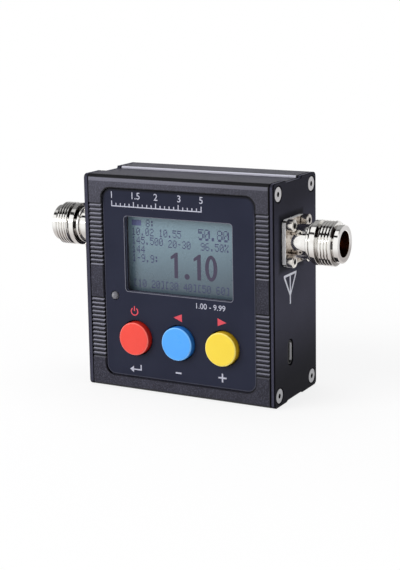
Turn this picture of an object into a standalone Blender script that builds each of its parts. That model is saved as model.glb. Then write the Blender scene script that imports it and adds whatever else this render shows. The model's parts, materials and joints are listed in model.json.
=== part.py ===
"""Standing-wave meter in a small extruded case, with a cable socket at each side.

Metres, +Z up. The front faces -Y. The origin is at the middle of the whole meter's underside.
"""

import math

import bmesh
import bpy
from mathutils import Matrix

# Gaps
FIT_GAP = 0.0003                # round a piece that sits in or on another
FACE_GAP = 0.0002               # between flat faces whose seam shows
CUT_OVERRUN = 0.0010            # how far a cutter runs past what it cuts
WELD_DISTANCE = 0.000001        # joins a curve's loose caps
SMOOTH_ANGLE = 35               # degrees, edges shallower than this are shaded smooth

# Case, over its two end plates
CASE_WIDTH = 0.0810
CASE_DEPTH = 0.0380
CASE_HEIGHT = 0.0840
CORNER_RADIUS = 0.0018
FRONT_WALL = 0.0026
REAR_WALL = 0.0020
TOP_WALL = 0.0020
PLATE_THICKNESS = 0.0018

# Shallow trough across the top and the underside, and the seam at its rear edge
TROUGH_START = 0.0104
TROUGH_RAMP = 0.0011
TOP_TROUGH = 0.0009
BOTTOM_TROUGH = 0.0005
SEAM_DEPTH = 0.0242
LIP_CHAMFER = 0.0005
LAP_LENGTH = 0.0016
LAP_THICKNESS = 0.0008

# Screw ports in the case's corners, and the rails that hold the main board
PORT_INSET = 0.0042
PORT_WALL = 0.0013
RAIL_WIDTH = 0.0012
RAIL_HEIGHT = 0.0020
RAIL_ROOT = 0.0010

# Ribbed banks at the front's four sides
RIB_COUNT = 15
RIB_PITCH = 0.00167
RIB_GROOVE = 0.0012
RIB_DEPTH = 0.0006
RIB_BANK_OFFSET = 0.0186

# Front recess and its label
RECESS_SIDE_MARGIN = 0.0077
RECESS_END_MARGIN = 0.0050
RECESS_WIDTH = CASE_WIDTH - 2 * RECESS_SIDE_MARGIN
RECESS_HEIGHT = CASE_HEIGHT - 2 * RECESS_END_MARGIN
RECESS_RADIUS = 0.0040
RECESS_DEPTH = 0.0015
LABEL_THICKNESS = 0.0004

# Display window and the stack behind it
WINDOW_SIDE_MARGIN = 0.0173
WINDOW_HEIGHT_SHARE = 0.35
WINDOW_LEVEL_SHARE = 0.638095
WINDOW_WIDTH = CASE_WIDTH - 2 * WINDOW_SIDE_MARGIN
WINDOW_HEIGHT = CASE_HEIGHT * WINDOW_HEIGHT_SHARE
WINDOW_RADIUS = 0.0012
WINDOW_CENTRE_HEIGHT = CASE_HEIGHT * WINDOW_LEVEL_SHARE
DISPLAY_SIDE_MARGIN = 0.0026
DISPLAY_END_MARGIN = 0.0036
DISPLAY_WIDTH = WINDOW_WIDTH + 2 * DISPLAY_SIDE_MARGIN
DISPLAY_HEIGHT = WINDOW_HEIGHT + 2 * DISPLAY_END_MARGIN
GASKET_THICKNESS = 0.0008
BEZEL_SHEET = 0.0004
BEZEL_RIM = 0.0023
GLASS_THICKNESS = 0.0016
BACKLIGHT_THICKNESS = 0.0020
DISPLAY_BOARD_THICKNESS = 0.0012

# Main board and what stands on it
MAIN_BOARD_THICKNESS = 0.0016
CHIP_SIZE = 0.0090
CHIP_THICKNESS = 0.0014
CHIP_INSET = 0.0083
CHIP_LEVEL_SHARE = 0.476190
CHIP_ACROSS = CASE_WIDTH / 2 - CHIP_INSET
CHIP_LEVEL = CASE_HEIGHT * CHIP_LEVEL_SHARE

# Push-buttons
BUTTON_RADIUS = 0.0065
BUTTON_PROTRUSION = 0.0025
BUTTON_LENGTH = 0.0060
BUTTON_EDGE = 0.0009
BUTTON_WALL = 0.0012
BUTTON_TOP = 0.0016
BUTTON_CLEARANCE = 0.00045
BUTTON_SPACING_SHARE = 0.232099
BUTTON_LEVEL_SHARE = 0.247619
BUTTON_SPACING = CASE_WIDTH * BUTTON_SPACING_SHARE
BUTTON_LEVEL = CASE_HEIGHT * BUTTON_LEVEL_SHARE
BOSS_RADIUS = 0.0036
BOSS_LENGTH = 0.0034
STEM_SIDE = 0.0038
FOOT_RADIUS = 0.0029
FOOT_THICKNESS = 0.0008
TRAVEL = 0.0003
SWITCH_SIDE = 0.0120
SWITCH_HEIGHT = 0.0038
SWITCH_COVER = 0.0006
DOME_RADIUS = 0.0026
DOME_THICKNESS = 0.0002

# Indicator lamp
LAMP_RADIUS = 0.0015
LAMP_FLANGE_RADIUS = 0.0019
LAMP_FLANGE_THICKNESS = 0.0009
LAMP_LENGTH = 0.0048
LAMP_PROTRUSION = 0.0012
LAMP_INSET = 0.0124
LAMP_LEVEL_SHARE = 0.438095
LAMP_ACROSS = LAMP_INSET - CASE_WIDTH / 2
LAMP_LEVEL = CASE_HEIGHT * LAMP_LEVEL_SHARE
LAMP_SPACER_WALL = 0.0007
LEAD_SIDE = 0.0005
LEAD_SPACING = 0.0010

# Charging socket
USB_WIDTH = 0.00894
USB_HEIGHT = 0.00326
USB_LENGTH = 0.00735
USB_SHEET = 0.0003
USB_RADIUS = 0.00155
USB_LEVEL_SHARE = 0.221429
USB_LEVEL = CASE_HEIGHT * USB_LEVEL_SHARE
USB_SETBACK = 0.0003
USB_SLOT_CLEARANCE = 0.00055
TONGUE_WIDTH = 0.0066
TONGUE_THICKNESS = 0.0007
TONGUE_SETBACK = 0.0010

# Battery
BATTERY_SIDE_MARGIN = 0.0135
BATTERY_HEIGHT_SHARE = 0.392857
BATTERY_WIDTH = CASE_WIDTH - 2 * BATTERY_SIDE_MARGIN
BATTERY_HEIGHT = CASE_HEIGHT * BATTERY_HEIGHT_SHARE
BATTERY_THICKNESS = 0.0060
BATTERY_RADIUS = 0.0018
BATTERY_SHIFT = -0.0030
BATTERY_LEVEL_SHARE = 0.285714
BATTERY_LEVEL = CASE_HEIGHT * BATTERY_LEVEL_SHARE
BATTERY_PAD_THICKNESS = 0.0008
BATTERY_PAD_MARGIN = 0.0060
BATTERY_PLUG_WIDTH = 0.0080
BATTERY_PLUG_SHARE = 0.059524
BATTERY_PLUG_HEIGHT = CASE_HEIGHT * BATTERY_PLUG_SHARE
BATTERY_PLUG_THICKNESS = 0.0045
BATTERY_LEAD_SHARE = 0.028571
BATTERY_LEAD_LENGTH = CASE_HEIGHT * BATTERY_LEAD_SHARE
BATTERY_LEAD_RADIUS = 0.0009

# Radio sockets at the two sides
SOCKET_DEPTH = 0.0152
SOCKET_LEVEL_SHARE = 0.728571
SOCKET_LEVEL = CASE_HEIGHT * SOCKET_LEVEL_SHARE
FLANGE_SIDE = 0.0176
FLANGE_RADIUS = 0.0022
FLANGE_THICKNESS = 0.0016
NECK_RADIUS = 0.0065
NECK_LENGTH = 0.0078
STEP_RADIUS = 0.0073
STEP_LENGTH = 0.0008
COLLAR_RADIUS = 0.0082
COLLAR_LENGTH = 0.0022
RELIEF_RADIUS = 0.0073
RELIEF_LENGTH = 0.0005
THREAD_RADIUS = 0.0082
THREAD_DEPTH = 0.0007
THREAD_PITCH = 0.00115
THREAD_COUNT = 5
THREAD_CREST_SHARES = (0.62, 0.38)
LEAD_IN_RADIUS = 0.00715
LEAD_IN_LENGTH = 0.00245
LEAD_IN_CHAMFER = 0.0003
MOUTH_CHAMFER = 0.0005
MOUTH_RADIUS = 0.0044
MOUTH_LENGTH = 0.0088
SHELF_RADIUS = 0.0035
SPIGOT_RADIUS = 0.0044
BEAD_REACH = 0.0003
BEAD_LENGTH = 0.0091
CONTACT_RADIUS = 0.0015
CONTACT_BORE_RADIUS = 0.0008
CONTACT_BORE_DEPTH = 0.0040
CONTACT_SETBACK = 0.0053
PIN_RADIUS = 0.00065
PIN_LENGTH = 0.0024

# Through-line board between the two sockets
LINE_BOARD_SHARE = 0.285714
LINE_BOARD_HEIGHT = CASE_HEIGHT * LINE_BOARD_SHARE
LINE_BOARD_THICKNESS = 0.0016
LINE_BOARD_END_GAP = 0.0006
SHIELD_SIDE_MARGIN = 0.0125
SHIELD_HEIGHT_SHARE = 0.214286
SHIELD_WIDTH = CASE_WIDTH - 2 * SHIELD_SIDE_MARGIN
SHIELD_HEIGHT = CASE_HEIGHT * SHIELD_HEIGHT_SHARE
SHIELD_DEPTH = 0.0040
SHIELD_SHEET = 0.0005
SPACER_RADIUS = 0.0022
SPACER_INSET = 0.0075
SPACER_DROP_SHARE = 0.113095
SPACER_ACROSS = CASE_WIDTH / 2 - SPACER_INSET
SPACER_DROP = CASE_HEIGHT * SPACER_DROP_SHARE

# Countersunk screws of the end plates
PLATE_SCREW_RADIUS = 0.0015
PLATE_SCREW_HEAD = 0.00275
PLATE_SCREW_LENGTH = 0.0080
PLATE_SCREW_HEX = 0.0020
PLATE_SCREW_HEX_DEPTH = 0.0010
PLATE_SCREW_RIM = 0.0001

# Cap screws of the radio sockets
SOCKET_SCREW_RADIUS = 0.00125
SOCKET_SCREW_HEAD = 0.0023
SOCKET_SCREW_HEAD_LENGTH = 0.0025
SOCKET_SCREW_HEX = 0.0020
SOCKET_SCREW_HEX_DEPTH = 0.0012
SOCKET_SCREW_OFFSET = 0.0067
SOCKET_SCREW_EDGE = 0.0003

# Screws of the through-line board
BOARD_SCREW_RADIUS = 0.0010
BOARD_SCREW_HEAD = 0.0019
BOARD_SCREW_HEAD_LENGTH = 0.0014

# Faceting
BARREL_STEPS = 32
ROUND_STEPS = 28
SMALL_STEPS = 16
ARC_STEPS = 4
HEX_SIDES = 6

# Places that follow from the sizes above: Y planes behind the case's front
OVERHANG = BUTTON_PROTRUSION + LABEL_THICKNESS + FIT_GAP - RECESS_DEPTH
FRONT = (OVERHANG - CASE_DEPTH) / 2
REAR = FRONT + CASE_DEPTH
RECESS_FLOOR = FRONT + RECESS_DEPTH
LABEL_BACK = RECESS_FLOOR - FIT_GAP
LABEL_FRONT = LABEL_BACK - LABEL_THICKNESS
GASKET_FRONT = FRONT + FRONT_WALL + FIT_GAP
BEZEL_FRONT = GASKET_FRONT + GASKET_THICKNESS + FIT_GAP
GLASS_FRONT = BEZEL_FRONT + BEZEL_SHEET + FIT_GAP
BACKLIGHT_FRONT = GLASS_FRONT + GLASS_THICKNESS + FIT_GAP
DISPLAY_BOARD_FRONT = BACKLIGHT_FRONT + BACKLIGHT_THICKNESS + FIT_GAP
MAIN_BOARD_FRONT = DISPLAY_BOARD_FRONT + DISPLAY_BOARD_THICKNESS + FIT_GAP
MAIN_BOARD_BACK = MAIN_BOARD_FRONT + MAIN_BOARD_THICKNESS
USB_DEPTH = MAIN_BOARD_BACK + FIT_GAP + USB_HEIGHT / 2
SOCKET_PLANE = FRONT + SOCKET_DEPTH
LINE_BOARD_FRONT = SOCKET_PLANE + PIN_RADIUS + FIT_GAP
LINE_BOARD_BACK = LINE_BOARD_FRONT + LINE_BOARD_THICKNESS

# Places that follow: X planes at the right side, and Z planes
PLATE_OUTER = CASE_WIDTH / 2
PLATE_INNER = PLATE_OUTER - PLATE_THICKNESS
SHELL_END = PLATE_INNER - FACE_GAP
BOARD_END = SHELL_END - FACE_GAP
FLOOR_INNER = BOTTOM_TROUGH + TOP_WALL
CEILING_INNER = CASE_HEIGHT - TOP_TROUGH - TOP_WALL
MID_HEIGHT = CASE_HEIGHT / 2
PORT_RADIUS = PLATE_SCREW_RADIUS + FIT_GAP
PORT_OUTER = PORT_RADIUS + PORT_WALL
SOCKET_HOLE_RADIUS = SPIGOT_RADIUS + FIT_GAP
SOCKET_SCREW_HOLE = SOCKET_SCREW_RADIUS + FIT_GAP

# Ways to lay a shape down: its own Z along +X, -X or -Y, its own Y always up
TO_RIGHT = Matrix(((0, 0, 1, 0), (1, 0, 0, 0), (0, 1, 0, 0), (0, 0, 0, 1)))
TO_LEFT = Matrix(((0, 0, -1, 0), (-1, 0, 0, 0), (0, 1, 0, 0), (0, 0, 0, 1)))
TO_FRONT = Matrix(((1, 0, 0, 0), (0, 0, -1, 0), (0, 1, 0, 0), (0, 0, 0, 1)))
TO_REAR = Matrix(((-1, 0, 0, 0), (0, 0, 1, 0), (0, 1, 0, 0), (0, 0, 0, 1)))
SIDES = {"left": TO_LEFT, "right": TO_RIGHT}


# Scene and collections

def clear_scene():
    """Remove whatever the file holds."""
    for item in list(bpy.data.objects):
        bpy.data.objects.remove(item, do_unlink=True)


def new_collection(name):
    """Make a collection and show it in the scene."""
    collection = bpy.data.collections.new(name)
    bpy.context.scene.collection.children.link(collection)
    return collection


clear_scene()
PARTS = new_collection("swr_meter")
CUTTERS = new_collection("cutters")


# Materials

def principled(name, colour, roughness, metallic):
    """Make a plain surface with one colour, roughness and metallic value."""
    material = bpy.data.materials.new(name)
    material.use_nodes = True
    shader = material.node_tree.nodes["Principled BSDF"]
    shader.inputs["Base Color"].default_value = (*colour, 1.0)
    shader.inputs["Roughness"].default_value = roughness
    shader.inputs["Metallic"].default_value = metallic
    return material


CASE_COATING = principled("case_coating", (0.075, 0.072, 0.090), 0.55, 0.4)
PLATE_COATING = principled("plate_coating", (0.030, 0.031, 0.034), 0.40, 0.3)
LABEL_FILM = principled("label_film", (0.035, 0.036, 0.048), 0.35, 0.0)
NICKEL = principled("nickel", (0.80, 0.79, 0.77), 0.18, 1.0)
STEEL = principled("steel", (0.62, 0.61, 0.62), 0.30, 1.0)
GOLD = principled("gold", (0.80, 0.56, 0.20), 0.25, 1.0)
WHITE_PLASTIC = principled("white_plastic", (0.85, 0.84, 0.80), 0.45, 0.0)
BLACK_PLASTIC = principled("black_plastic", (0.020, 0.020, 0.022), 0.45, 0.0)
FOAM = principled("foam", (0.030, 0.030, 0.032), 0.90, 0.0)
BOARD_RESIST = principled("board_resist", (0.020, 0.170, 0.070), 0.40, 0.0)
DISPLAY_GLASS = principled("display_glass", (0.160, 0.230, 0.250), 0.15, 0.0)
BATTERY_FILM = principled("battery_film", (0.55, 0.57, 0.60), 0.35, 0.6)
LAMP_EPOXY = principled("lamp_epoxy", (0.45, 0.44, 0.46), 0.15, 0.0)
RED_PLASTIC = principled("red_plastic", (1.000, 0.080, 0.055), 0.35, 0.0)
BLUE_PLASTIC = principled("blue_plastic", (0.075, 0.350, 0.960), 0.35, 0.0)
YELLOW_PLASTIC = principled("yellow_plastic", (0.970, 0.710, 0.065), 0.35, 0.0)
BUTTONS = {
    "red": (-BUTTON_SPACING, RED_PLASTIC),
    "blue": (0.0, BLUE_PLASTIC),
    "yellow": (BUTTON_SPACING, YELLOW_PLASTIC),
}


# Shapes

def moved(placement, x=0.0, y=0.0, z=0.0):
    """Put a placement at a point."""
    return Matrix.Translation((x, y, z)) @ placement


def new_object(name, mesh, placement=None, material=None, cutter=False):
    """Link a mesh into the scene, as a part or as a cutter."""
    item = bpy.data.objects.new(name, mesh)
    (CUTTERS if cutter else PARTS).objects.link(item)
    item.matrix_world = placement or Matrix.Identity(4)
    if cutter:
        item.hide_render = True
        item.display_type = "WIRE"
    if material:
        mesh.materials.clear()
        mesh.materials.append(material)
    return item


def evaluated_mesh(item):
    """Read an object's mesh with its curve and modifiers worked out."""
    bpy.context.view_layer.update()
    graph = bpy.context.evaluated_depsgraph_get()
    return bpy.data.meshes.new_from_object(item.evaluated_get(graph), depsgraph=graph)


def smooth_rounds(mesh):
    """Shade the shallow edges smooth and keep the sharp ones."""
    mesh.shade_smooth()
    mesh.set_sharp_from_angle(angle=math.radians(SMOOTH_ANGLE))


def box(name, centre, size, material=None, cutter=False):
    """Make a block from its centre and its three sides."""
    shape = bmesh.new()
    bmesh.ops.create_cube(shape, size=1.0, matrix=Matrix.Diagonal((*size, 1.0)))
    mesh = bpy.data.meshes.new(name)
    shape.to_mesh(mesh)
    shape.free()
    return new_object(name, mesh, Matrix.Translation(centre), material, cutter)


def spanning_box(name, low, high, material=None, cutter=False):
    """Make a block from two opposite corners."""
    centre = [(a + b) / 2 for a, b in zip(low, high)]
    size = [b - a for a, b in zip(low, high)]
    return box(name, centre, size, material, cutter)


def outline_solid(name, outlines, thickness, placement, material=None, cutter=False):
    """Fill closed outlines, the first the edge and the rest holes, and give them a thickness."""
    curve = bpy.data.curves.new(name, "CURVE")
    curve.dimensions = "2D"
    curve.fill_mode = "BOTH"
    curve.extrude = thickness / 2
    for outline in outlines:
        spline = curve.splines.new("POLY")
        spline.points.add(len(outline) - 1)
        for point, (across, up) in zip(spline.points, outline):
            point.co = (across, up, 0.0, 1.0)
        spline.use_cyclic_u = True
    drawn = bpy.data.objects.new(name + "_curve", curve)
    PARTS.objects.link(drawn)
    drawn.matrix_world = placement
    mesh = evaluated_mesh(drawn)
    bpy.data.objects.remove(drawn, do_unlink=True)
    shape = bmesh.new()
    shape.from_mesh(mesh)
    bmesh.ops.remove_doubles(shape, verts=shape.verts, dist=WELD_DISTANCE)
    bmesh.ops.recalc_face_normals(shape, faces=shape.faces)
    shape.to_mesh(mesh)
    shape.free()
    smooth_rounds(mesh)
    return new_object(name, mesh, placement, material, cutter)


def turned(name, profile, steps, placement, material=None, cutter=False, ring=False):
    """Turn a profile of radius and height round its own Z, from the top down its outer side."""
    edges = [(index, index + 1) for index in range(len(profile) - 1)]
    if ring:
        edges.append((len(profile) - 1, 0))
    mesh = bpy.data.meshes.new(name)
    mesh.from_pydata([(radius, 0.0, height) for radius, height in profile], edges, [])
    item = new_object(name, mesh, placement, material, cutter)
    turn = item.modifiers.new("turn", "SCREW")
    turn.axis = "Z"
    turn.angle = math.tau
    turn.steps = steps
    turn.render_steps = steps
    turn.use_merge_vertices = True
    turn.merge_threshold = WELD_DISTANCE
    turn.use_smooth_shade = True
    return item


def boolean(item, other, operation="DIFFERENCE"):
    """Cut one shape with another, or join them."""
    step = item.modifiers.new(operation.lower(), "BOOLEAN")
    step.operation = operation
    step.object = other
    step.solver = "EXACT"


def settle(item):
    """Swap an object's modifiers for the mesh that they make."""
    mesh = evaluated_mesh(item)
    item.modifiers.clear()
    item.data = mesh
    smooth_rounds(mesh)
    return item


def copies(names, pattern, placements, material):
    """Repeat one settled piece at each placement, as objects that share its mesh, and drop the pattern."""
    mesh = pattern.data
    bpy.data.objects.remove(pattern, do_unlink=True)
    for name, placement in zip(names, placements):
        new_object(name, mesh, placement, material)


def arc(centre, radius, start, end, steps):
    """List the points of an arc between two angles in degrees."""
    points = []
    for index in range(steps + 1):
        angle = math.radians(start + (end - start) * index / steps)
        points.append((centre[0] + radius * math.cos(angle), centre[1] + radius * math.sin(angle)))
    return points


def circle(centre, radius, steps):
    """List the points of a full circle, once each."""
    return arc(centre, radius, 0.0, 360.0, steps)[:-1]


def rectangle(centre, width, height):
    """List the corners of a rectangle."""
    signs = ((-1, -1), (1, -1), (1, 1), (-1, 1))
    return [(centre[0] + across * width / 2, centre[1] + up * height / 2) for across, up in signs]


def rounded_rectangle(centre, width, height, radius):
    """List the points of a rectangle with round corners."""
    points = []
    for quarter, (across, up) in enumerate(((1, 1), (-1, 1), (-1, -1), (1, -1))):
        corner = (centre[0] + across * (width / 2 - radius), centre[1] + up * (height / 2 - radius))
        points += arc(corner, radius, 90.0 * quarter, 90.0 * (quarter + 1), ARC_STEPS)
    return points


# Case shells: outlines in depth and height, drawn out along X

def port_centres():
    """Give the depth and height of the four screw ports, front ones first."""
    depths = (FRONT + PORT_INSET, REAR - PORT_INSET)
    levels = (PORT_INSET, CASE_HEIGHT - PORT_INSET)
    return [(depth, level) for depth in depths for level in levels]


def rib_points():
    """List the grooves down the front face, from the top groove to the bottom one."""
    points = []
    for bank in (MID_HEIGHT + RIB_BANK_OFFSET, MID_HEIGHT - RIB_BANK_OFFSET):
        for index in range(RIB_COUNT):
            level = bank + RIB_PITCH * ((RIB_COUNT - 1) / 2 - index)
            points.append((FRONT, level + RIB_GROOVE / 2))
            points.append((FRONT + RIB_DEPTH, level))
            points.append((FRONT, level - RIB_GROOVE / 2))
    return points


def port_arc(depth, level, wall_depth, wall_level):
    """Round the port in one corner, from the wall at its side to the wall above or below it."""
    inward = 1 if depth > wall_depth else -1
    away = 1 if level > wall_level else -1
    start = math.acos(-abs(depth - wall_depth) / PORT_OUTER)
    end = -math.asin(abs(level - wall_level) / PORT_OUTER)
    points = []
    for across, up in arc((0.0, 0.0), PORT_OUTER, math.degrees(start), math.degrees(end), 2 * ARC_STEPS):
        points.append((depth + inward * across, level + away * up))
    return points


def front_shell_outline():
    """Draw the front half: face with ribs, top and underside with troughs, laps and ports."""
    seam = FRONT + SEAM_DEPTH
    lap_end = seam + LAP_LENGTH
    trough = FRONT + TROUGH_START
    top_port = (FRONT + PORT_INSET, CASE_HEIGHT - PORT_INSET)
    low_port = (FRONT + PORT_INSET, PORT_INSET)
    inner_face = FRONT + FRONT_WALL
    radius = CORNER_RADIUS
    points = [(seam, CASE_HEIGHT - TOP_TROUGH)]
    points += [(trough + TROUGH_RAMP, CASE_HEIGHT - TOP_TROUGH), (trough, CASE_HEIGHT)]
    points += arc((FRONT + radius, CASE_HEIGHT - radius), radius, 90.0, 180.0, ARC_STEPS)
    points += rib_points()
    points += arc((FRONT + radius, radius), radius, 180.0, 270.0, ARC_STEPS)
    points += [(trough, 0.0), (trough + TROUGH_RAMP, BOTTOM_TROUGH), (seam, BOTTOM_TROUGH)]
    points += [(seam, FLOOR_INNER - LAP_THICKNESS), (lap_end, FLOOR_INNER - LAP_THICKNESS)]
    points += [(lap_end, FLOOR_INNER)]
    points += reversed(port_arc(*low_port, inner_face, FLOOR_INNER))
    points += port_arc(*top_port, inner_face, CEILING_INNER)
    points += [(lap_end, CEILING_INNER), (lap_end, CEILING_INNER + LAP_THICKNESS)]
    points += [(seam, CEILING_INNER + LAP_THICKNESS)]
    return points


def rear_shell_outline():
    """Draw the rear half: back, top and underside, with a rebate over each lap and its ports."""
    lip = FRONT + SEAM_DEPTH + FACE_GAP
    rebate_end = FRONT + SEAM_DEPTH + LAP_LENGTH + FIT_GAP
    rebate = LAP_THICKNESS + FIT_GAP
    top_port = (REAR - PORT_INSET, CASE_HEIGHT - PORT_INSET)
    low_port = (REAR - PORT_INSET, PORT_INSET)
    inner_face = REAR - REAR_WALL
    radius = CORNER_RADIUS
    points = [(lip, CEILING_INNER + rebate), (lip, CASE_HEIGHT - LIP_CHAMFER)]
    points += [(lip + LIP_CHAMFER, CASE_HEIGHT)]
    points += arc((REAR - radius, CASE_HEIGHT - radius), radius, 90.0, 0.0, ARC_STEPS)
    points += arc((REAR - radius, radius), radius, 0.0, -90.0, ARC_STEPS)
    points += [(lip + LIP_CHAMFER / 2, 0.0), (lip, LIP_CHAMFER / 2)]
    points += [(lip, FLOOR_INNER - rebate), (rebate_end, FLOOR_INNER - rebate), (rebate_end, FLOOR_INNER)]
    points += reversed(port_arc(*low_port, inner_face, FLOOR_INNER))
    points += port_arc(*top_port, inner_face, CEILING_INNER)
    points += [(rebate_end, CEILING_INNER), (rebate_end, CEILING_INNER + rebate)]
    return points


def front_openings():
    """Make the cutter for the window, the three button holes and the lamp's hole."""
    depth = FRONT_WALL + 2 * CUT_OVERRUN
    middle = FRONT + FRONT_WALL / 2
    placement = moved(TO_FRONT, y=middle)
    window = rounded_rectangle((0.0, WINDOW_CENTRE_HEIGHT), WINDOW_WIDTH, WINDOW_HEIGHT, WINDOW_RADIUS)
    cutters = [outline_solid("window_cutter", [window], depth, placement, cutter=True)]
    for name, outline in round_front_holes().items():
        cutters.append(outline_solid(name + "_cutter", [outline], depth, placement, cutter=True))
    return cutters


def round_front_holes():
    """List the outlines of the round holes in the shell and in the label."""
    holes = {}
    for name, (across, _) in BUTTONS.items():
        holes[name + "_hole"] = circle((across, BUTTON_LEVEL), BUTTON_RADIUS + BUTTON_CLEARANCE, ROUND_STEPS)
    holes["lamp_hole"] = circle((LAMP_ACROSS, LAMP_LEVEL), LAMP_RADIUS + FIT_GAP, SMALL_STEPS)
    return holes


def join_rails(shell):
    """Join the rails that hold the main board's upper and lower edges to the front half."""
    half = SHELL_END - FIT_GAP
    slot_front = MAIN_BOARD_FRONT - FIT_GAP
    slot_back = MAIN_BOARD_BACK + FIT_GAP
    spans = {"front": (slot_front - RAIL_WIDTH, slot_front), "back": (slot_back, slot_back + RAIL_WIDTH)}
    for name, (near, far) in spans.items():
        floor_top = FLOOR_INNER + RAIL_HEIGHT
        foot = FLOOR_INNER - RAIL_ROOT
        low = spanning_box(f"low_{name}_rail", (-half, near, foot), (half, far, floor_top), cutter=True)
        boolean(shell, low, "UNION")
        ceiling_low = CEILING_INNER - RAIL_HEIGHT
        top = CEILING_INNER + RAIL_ROOT
        high = spanning_box(f"high_{name}_rail", (-half, near, ceiling_low), (half, far, top), cutter=True)
        boolean(shell, high, "UNION")


def make_shells():
    """Make the two halves of the case."""
    ports = port_centres()
    front = [circle(centre, PORT_RADIUS, SMALL_STEPS) for centre in ports[:2]]
    rear = [circle(centre, PORT_RADIUS, SMALL_STEPS) for centre in ports[2:]]
    length = 2 * SHELL_END
    shell = outline_solid("front_shell", [front_shell_outline(), *front], length, TO_RIGHT, CASE_COATING)
    recess = rounded_rectangle((0.0, MID_HEIGHT), RECESS_WIDTH, RECESS_HEIGHT, RECESS_RADIUS)
    depth = RECESS_DEPTH + CUT_OVERRUN
    placement = moved(TO_FRONT, y=RECESS_FLOOR - depth / 2)
    boolean(shell, outline_solid("recess_cutter", [recess], depth, placement, cutter=True))
    for cutter in front_openings():
        boolean(shell, cutter)
    join_rails(shell)
    outline_solid("rear_shell", [rear_shell_outline(), *rear], length, TO_RIGHT, CASE_COATING)


def make_label():
    """Make the printed film in the front recess."""
    centre = (0.0, MID_HEIGHT)
    width = RECESS_WIDTH - 2 * FIT_GAP
    height = RECESS_HEIGHT - 2 * FIT_GAP
    edge = rounded_rectangle(centre, width, height, RECESS_RADIUS - FIT_GAP)
    window = rounded_rectangle((0.0, WINDOW_CENTRE_HEIGHT), WINDOW_WIDTH, WINDOW_HEIGHT, WINDOW_RADIUS)
    outlines = [edge, window, *round_front_holes().values()]
    placement = moved(TO_FRONT, y=LABEL_FRONT + LABEL_THICKNESS / 2)
    outline_solid("front_label", outlines, LABEL_THICKNESS, placement, LABEL_FILM)


# End plates and their screws

def plate_outline():
    """Draw the case's whole section, with the troughs."""
    trough = FRONT + TROUGH_START
    ramp = trough + TROUGH_RAMP
    lip = FRONT + SEAM_DEPTH + FACE_GAP
    radius = CORNER_RADIUS
    points = [(ramp, CASE_HEIGHT - TOP_TROUGH), (trough, CASE_HEIGHT)]
    points += arc((FRONT + radius, CASE_HEIGHT - radius), radius, 90.0, 180.0, ARC_STEPS)
    points += arc((FRONT + radius, radius), radius, 180.0, 270.0, ARC_STEPS)
    points += [(trough, 0.0), (ramp, BOTTOM_TROUGH), (lip, BOTTOM_TROUGH), (lip + LIP_CHAMFER, 0.0)]
    points += arc((REAR - radius, radius), radius, -90.0, 0.0, ARC_STEPS)
    points += arc((REAR - radius, CASE_HEIGHT - radius), radius, 0.0, 90.0, ARC_STEPS)
    points += [(lip + LIP_CHAMFER, CASE_HEIGHT), (lip, CASE_HEIGHT - TOP_TROUGH)]
    return points


def socket_screw_places():
    """Give the depth and height of a radio socket's four screws."""
    signs = ((-1, -1), (-1, 1), (1, -1), (1, 1))
    offset = SOCKET_SCREW_OFFSET
    return [(SOCKET_PLANE + across * offset, SOCKET_LEVEL + up * offset) for across, up in signs]


def plate_holes():
    """List the holes that both end plates have."""
    holes = [circle(centre, PLATE_SCREW_RADIUS + FIT_GAP, SMALL_STEPS) for centre in port_centres()]
    holes += [circle(centre, SOCKET_SCREW_HOLE, SMALL_STEPS) for centre in socket_screw_places()]
    holes.append(circle((SOCKET_PLANE, SOCKET_LEVEL), SOCKET_HOLE_RADIUS, ROUND_STEPS))
    return holes


def usb_slot():
    """Draw the slot for the charging socket, standing upright."""
    width = USB_HEIGHT + 2 * USB_SLOT_CLEARANCE
    height = USB_WIDTH + 2 * USB_SLOT_CLEARANCE
    return rounded_rectangle((USB_DEPTH, USB_LEVEL), width, height, USB_RADIUS + USB_SLOT_CLEARANCE)


def side_placement(side, depth, level, out):
    """Lay a shape down at one side, its own Z pointing out of the case from a distance out."""
    across = out if side == "right" else -out
    return moved(SIDES[side], across, depth, level)


def countersink_cutter(side):
    """Make the four cones that the plate screws' heads sink into, as one cutter."""
    wide = PLATE_SCREW_HEAD + 2 * PLATE_SCREW_RIM + FACE_GAP * math.sqrt(2)
    narrow = PLATE_SCREW_RADIUS
    end = narrow - wide
    profile = [(0.0, CUT_OVERRUN), (wide, CUT_OVERRUN), (wide, 0.0), (narrow, end), (0.0, end)]
    pattern = settle(turned("cone_pattern", profile, SMALL_STEPS, Matrix.Identity(4)))
    shape = bmesh.new()
    for depth, level in port_centres():
        cone = pattern.data.copy()
        cone.transform(side_placement(side, depth, level, PLATE_OUTER))
        shape.from_mesh(cone)
    mesh = bpy.data.meshes.new(f"{side}_countersinks")
    shape.to_mesh(mesh)
    shape.free()
    bpy.data.objects.remove(pattern, do_unlink=True)
    return new_object(f"{side}_countersinks", mesh, cutter=True)


def make_plate(side):
    """Make one end plate, with the charging slot on the right one."""
    holes = plate_holes()
    if side == "right":
        holes.append(usb_slot())
    middle = (PLATE_INNER + PLATE_OUTER) / 2
    across = middle if side == "right" else -middle
    outlines = [plate_outline(), *holes]
    placement = moved(TO_RIGHT, x=across)
    plate = outline_solid(f"{side}_end_plate", outlines, PLATE_THICKNESS, placement, PLATE_COATING)
    boolean(plate, countersink_cutter(side))


def hex_cutter(name, across_flats, depth, top):
    """Make the six-sided cutter for the key of a screw that stands upright."""
    radius = across_flats / math.sqrt(3)
    length = depth + CUT_OVERRUN
    outline = circle((0.0, 0.0), radius, HEX_SIDES)
    lifted = Matrix.Translation((0.0, 0.0, top - depth + length / 2))
    return outline_solid(name, [outline], length, lifted, cutter=True)


def numbered(name):
    """Name the four pieces of a set."""
    return [f"{name}_{index}" for index in range(1, 5)]


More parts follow.
